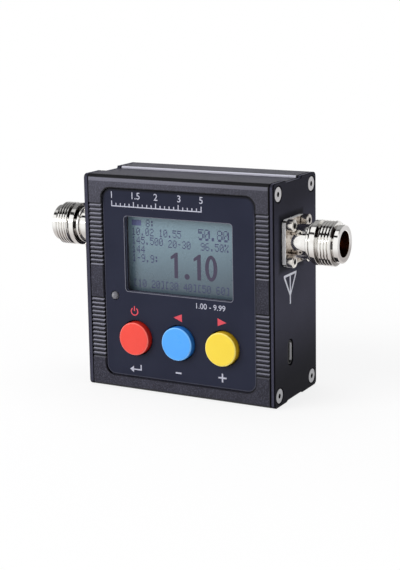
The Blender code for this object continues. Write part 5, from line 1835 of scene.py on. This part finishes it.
@dataclass
class InnerParts:
    """The CAD nodes that stay shown, and their finishes."""

    nodes: dict[str, bpy.types.Object]

    def finish_of(self, name: str) -> Finish:
        """Choose the finish of one node by what it is."""
        rules = (
            (("gasket", "pad"), Finishes.foam),
            (("_board_spacer",), Finishes.nickel),
            (("screw", "dome"), Finishes.steel),
            (("bezel", "shield"), Finishes.stamping),
            (("display_glass",), Finishes.crystal),
            (("light_guide", "plug", "stem"), Finishes.white),
            (("board",), Finishes.board),
            (("battery_cell",), Finishes.wrap),
        )
        for words, finish in rules:
            if any(word in name for word in words):
                return finish
        return Finishes.black

    def build(self) -> None:
        """Give each shown node its finish."""
        for name, node in sorted(self.nodes.items()):
            if node.hide_render:
                continue
            node.data.materials.clear()
            node.data.materials.append(self.finish_of(name).material())
            LOG.info("node %s is %s", name, self.finish_of(name).name)


# Studio

LAMPS = (
    ("key_lamp", (-0.60, -0.85, 0.75), 0.9, 11.0),
    ("top_lamp", (0.05, 0.15, 1.0), 0.7, 4.5),
    ("side_lamp", (0.95, -0.35, 0.45), 0.4, 0.8),
    ("spark_lamp", (-0.70, -0.75, 0.32), 0.22, 1.2, True),
)


@dataclass
class Studio:
    """The pale floor, the soft lamps and the camera at the photograph's angle."""

    eye: Triple = (0.2455, -0.45115, 0.154)
    yaw: float = 28.50
    pitch: float = 9.69
    roll: float = -1.00
    lens: float = 85.26
    shift: float = -0.1175
    floor_side: float = 0.5
    floor_levels: Point = (-0.01, -0.0002)

    def camera(self) -> None:
        """Make the camera from its measured place and angles."""
        yaw, pitch, roll = (math.radians(angle) for angle in (self.yaw, self.pitch, self.roll))
        ahead = Vector((-math.sin(yaw) * math.cos(pitch), math.cos(yaw) * math.cos(pitch), -math.sin(pitch)))
        right = Vector((math.cos(yaw), math.sin(yaw), 0.0))
        up = right.cross(ahead)
        across = right * math.cos(roll) + up * math.sin(roll)
        above = up * math.cos(roll) - right * math.sin(roll)
        data = bpy.data.cameras.new("photo_camera")
        data.lens, data.sensor_width, data.sensor_fit = self.lens, 36.0, "AUTO"
        data.shift_y = self.shift
        data.clip_start, data.clip_end = 0.01, 20.0
        item = placed("photo_camera", data)
        turn = Matrix((across, above, -ahead)).transposed()
        item.matrix_world = Matrix.Translation(self.eye) @ turn.to_4x4()
        bpy.context.scene.camera = item

    def lamp(self, name: str, place: Sequence[float], size: float, power: float,
             mirrored: bool = False) -> None:
        """Hang one square soft lamp that looks at the meter.

        Args:
            name: The lamp's name.
            place: Where it hangs.
            size: The length of its side.
            power: Its power in watts.
            mirrored: Whether shiny pieces mirror it.
        """
        data = bpy.data.lights.new(name, "AREA")
        data.size, data.energy = size, power
        item = placed(name, data)
        item.visible_glossy = mirrored
        item.location = place
        item.rotation_mode = "QUATERNION"
        item.rotation_quaternion = (Vector((0.0, 0.0, 0.04)) - Vector(place)).to_track_quat("-Z", "Y")

    def floor(self) -> None:
        """Lay the pale floor, which shows white to the camera but for the meter's shadow."""
        square = rectangle((0.0, 0.0), self.floor_side, self.floor_side)
        rings = [[Vector((x, y, level)) for x, y in square] for level in self.floor_levels]
        mesh = skin(rings, False, Matrix.Identity(4), "floor")
        material = bpy.data.materials.new("pale_floor")
        material.use_nodes = True
        graph = Graph(material.node_tree)
        cloud = graph.noise(graph.spot(), 0.002, 2.0)
        tone = graph.mix(cloud * 0.2, (0.86, 0.86, 0.86, 1.0), (0.82, 0.82, 0.82, 1.0))
        matt = graph.node("ShaderNodeBsdfDiffuse", None, {"Color": tone})
        glow = graph.node("ShaderNodeEmission", None, {"Color": WHITE, "Strength": 1.0})
        across, along, _ = graph.parts(graph.spot())
        far = ((across ** 2.0 + along ** 2.0) ** 0.5).span(70.0, 210.0)
        seen = graph.rays("Is Camera Ray", "Is Glossy Ray", "Is Transmission Ray")
        share = seen * (0.82 + far * 0.18)
        mixed = graph.node("ShaderNodeMixShader", None, {0: share, 1: matt.outputs[0], 2: glow.outputs[0]})
        graph.node("ShaderNodeOutputMaterial", None, {"Surface": mixed.outputs[0]})
        mesh.materials.append(material)
        placed("pale_floor", mesh)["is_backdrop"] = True

    def world(self) -> None:
        """Set soft light all round, white behind the meter and dimmer towards the viewer."""
        world = bpy.data.worlds.new("studio")
        bpy.context.scene.world = world
        world.use_nodes = True
        graph = Graph(world.node_tree)
        across, along, up = graph.parts(graph.node("ShaderNodeTexCoord").outputs["Generated"])
        seen = graph.rays("Is Camera Ray", "Is Transmission Ray")
        grey, dark = (0.5, 0.49, 0.48, 1.0), (0.02, 0.02, 0.02, 1.0)
        ahead = graph.mix(up.span(-0.42, -0.55), WHITE, grey)
        ahead = graph.mix(up.band(0.68, 0.78, 0.02).greatest(up.span(0.93, 0.96)), ahead, dark)
        behind = graph.mix(up.span(-0.06, -0.12), WHITE, (0.68, 0.67, 0.68, 1.0))
        behind = graph.mix(up.span(0.22, 0.4), behind, (0.36, 0.36, 0.36, 1.0))
        behind = graph.mix(up.span(0.88, 0.94), behind, dark)
        room = graph.mix(along.span(-0.05, 0.05), ahead, behind)
        soft = graph.mix(across.span(-0.5, 0.5), (0.50, 0.50, 0.51, 1.0), (0.17, 0.17, 0.18, 1.0))
        soft = graph.mix(graph.rays("Is Glossy Ray"), soft, room)
        colour = graph.mix(seen, soft, WHITE)
        back = graph.node("ShaderNodeBackground", None, {"Color": colour, "Strength": 1.0})
        graph.node("ShaderNodeOutputWorld", None, {"Surface": back.outputs[0]})

    def build(self) -> None:
        """Set up the studio."""
        self.camera()
        self.floor()
        self.world()
        for lamp in LAMPS:
            self.lamp(*lamp)
        bpy.context.scene.view_settings.view_transform = "Standard"


def clear_scene() -> None:
    """Remove whatever the new file holds."""
    for item in list(bpy.data.objects):
        bpy.data.objects.remove(item, do_unlink=True)


def corners() -> list[list[float]]:
    """Give the shown object's box as plain lists."""
    return [list(corner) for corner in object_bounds()]


def main() -> None:
    """Dress the frame, piece by piece."""
    logging.basicConfig(level=logging.INFO, format="%(message)s")
    clear_scene()
    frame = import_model()
    planes = Planes()
    CaseHalves(planes).build()
    FrontLabel(planes).build()
    Prints(planes).build()
    DisplayFace(planes).build()
    for side in Side:
        EndPlate(planes, side).build()
        RadioSocket(planes, side).build()
    for colour, finish in zip(COLOURS, (Finishes.red, Finishes.blue, Finishes.yellow)):
        PushButton(colour, finish).build()
    StatusLamp().build()
    ChargingPort().build()
    InnerParts(frame["nodes"]).build()
    Studio().build()


if __name__ == "__main__":
    main()
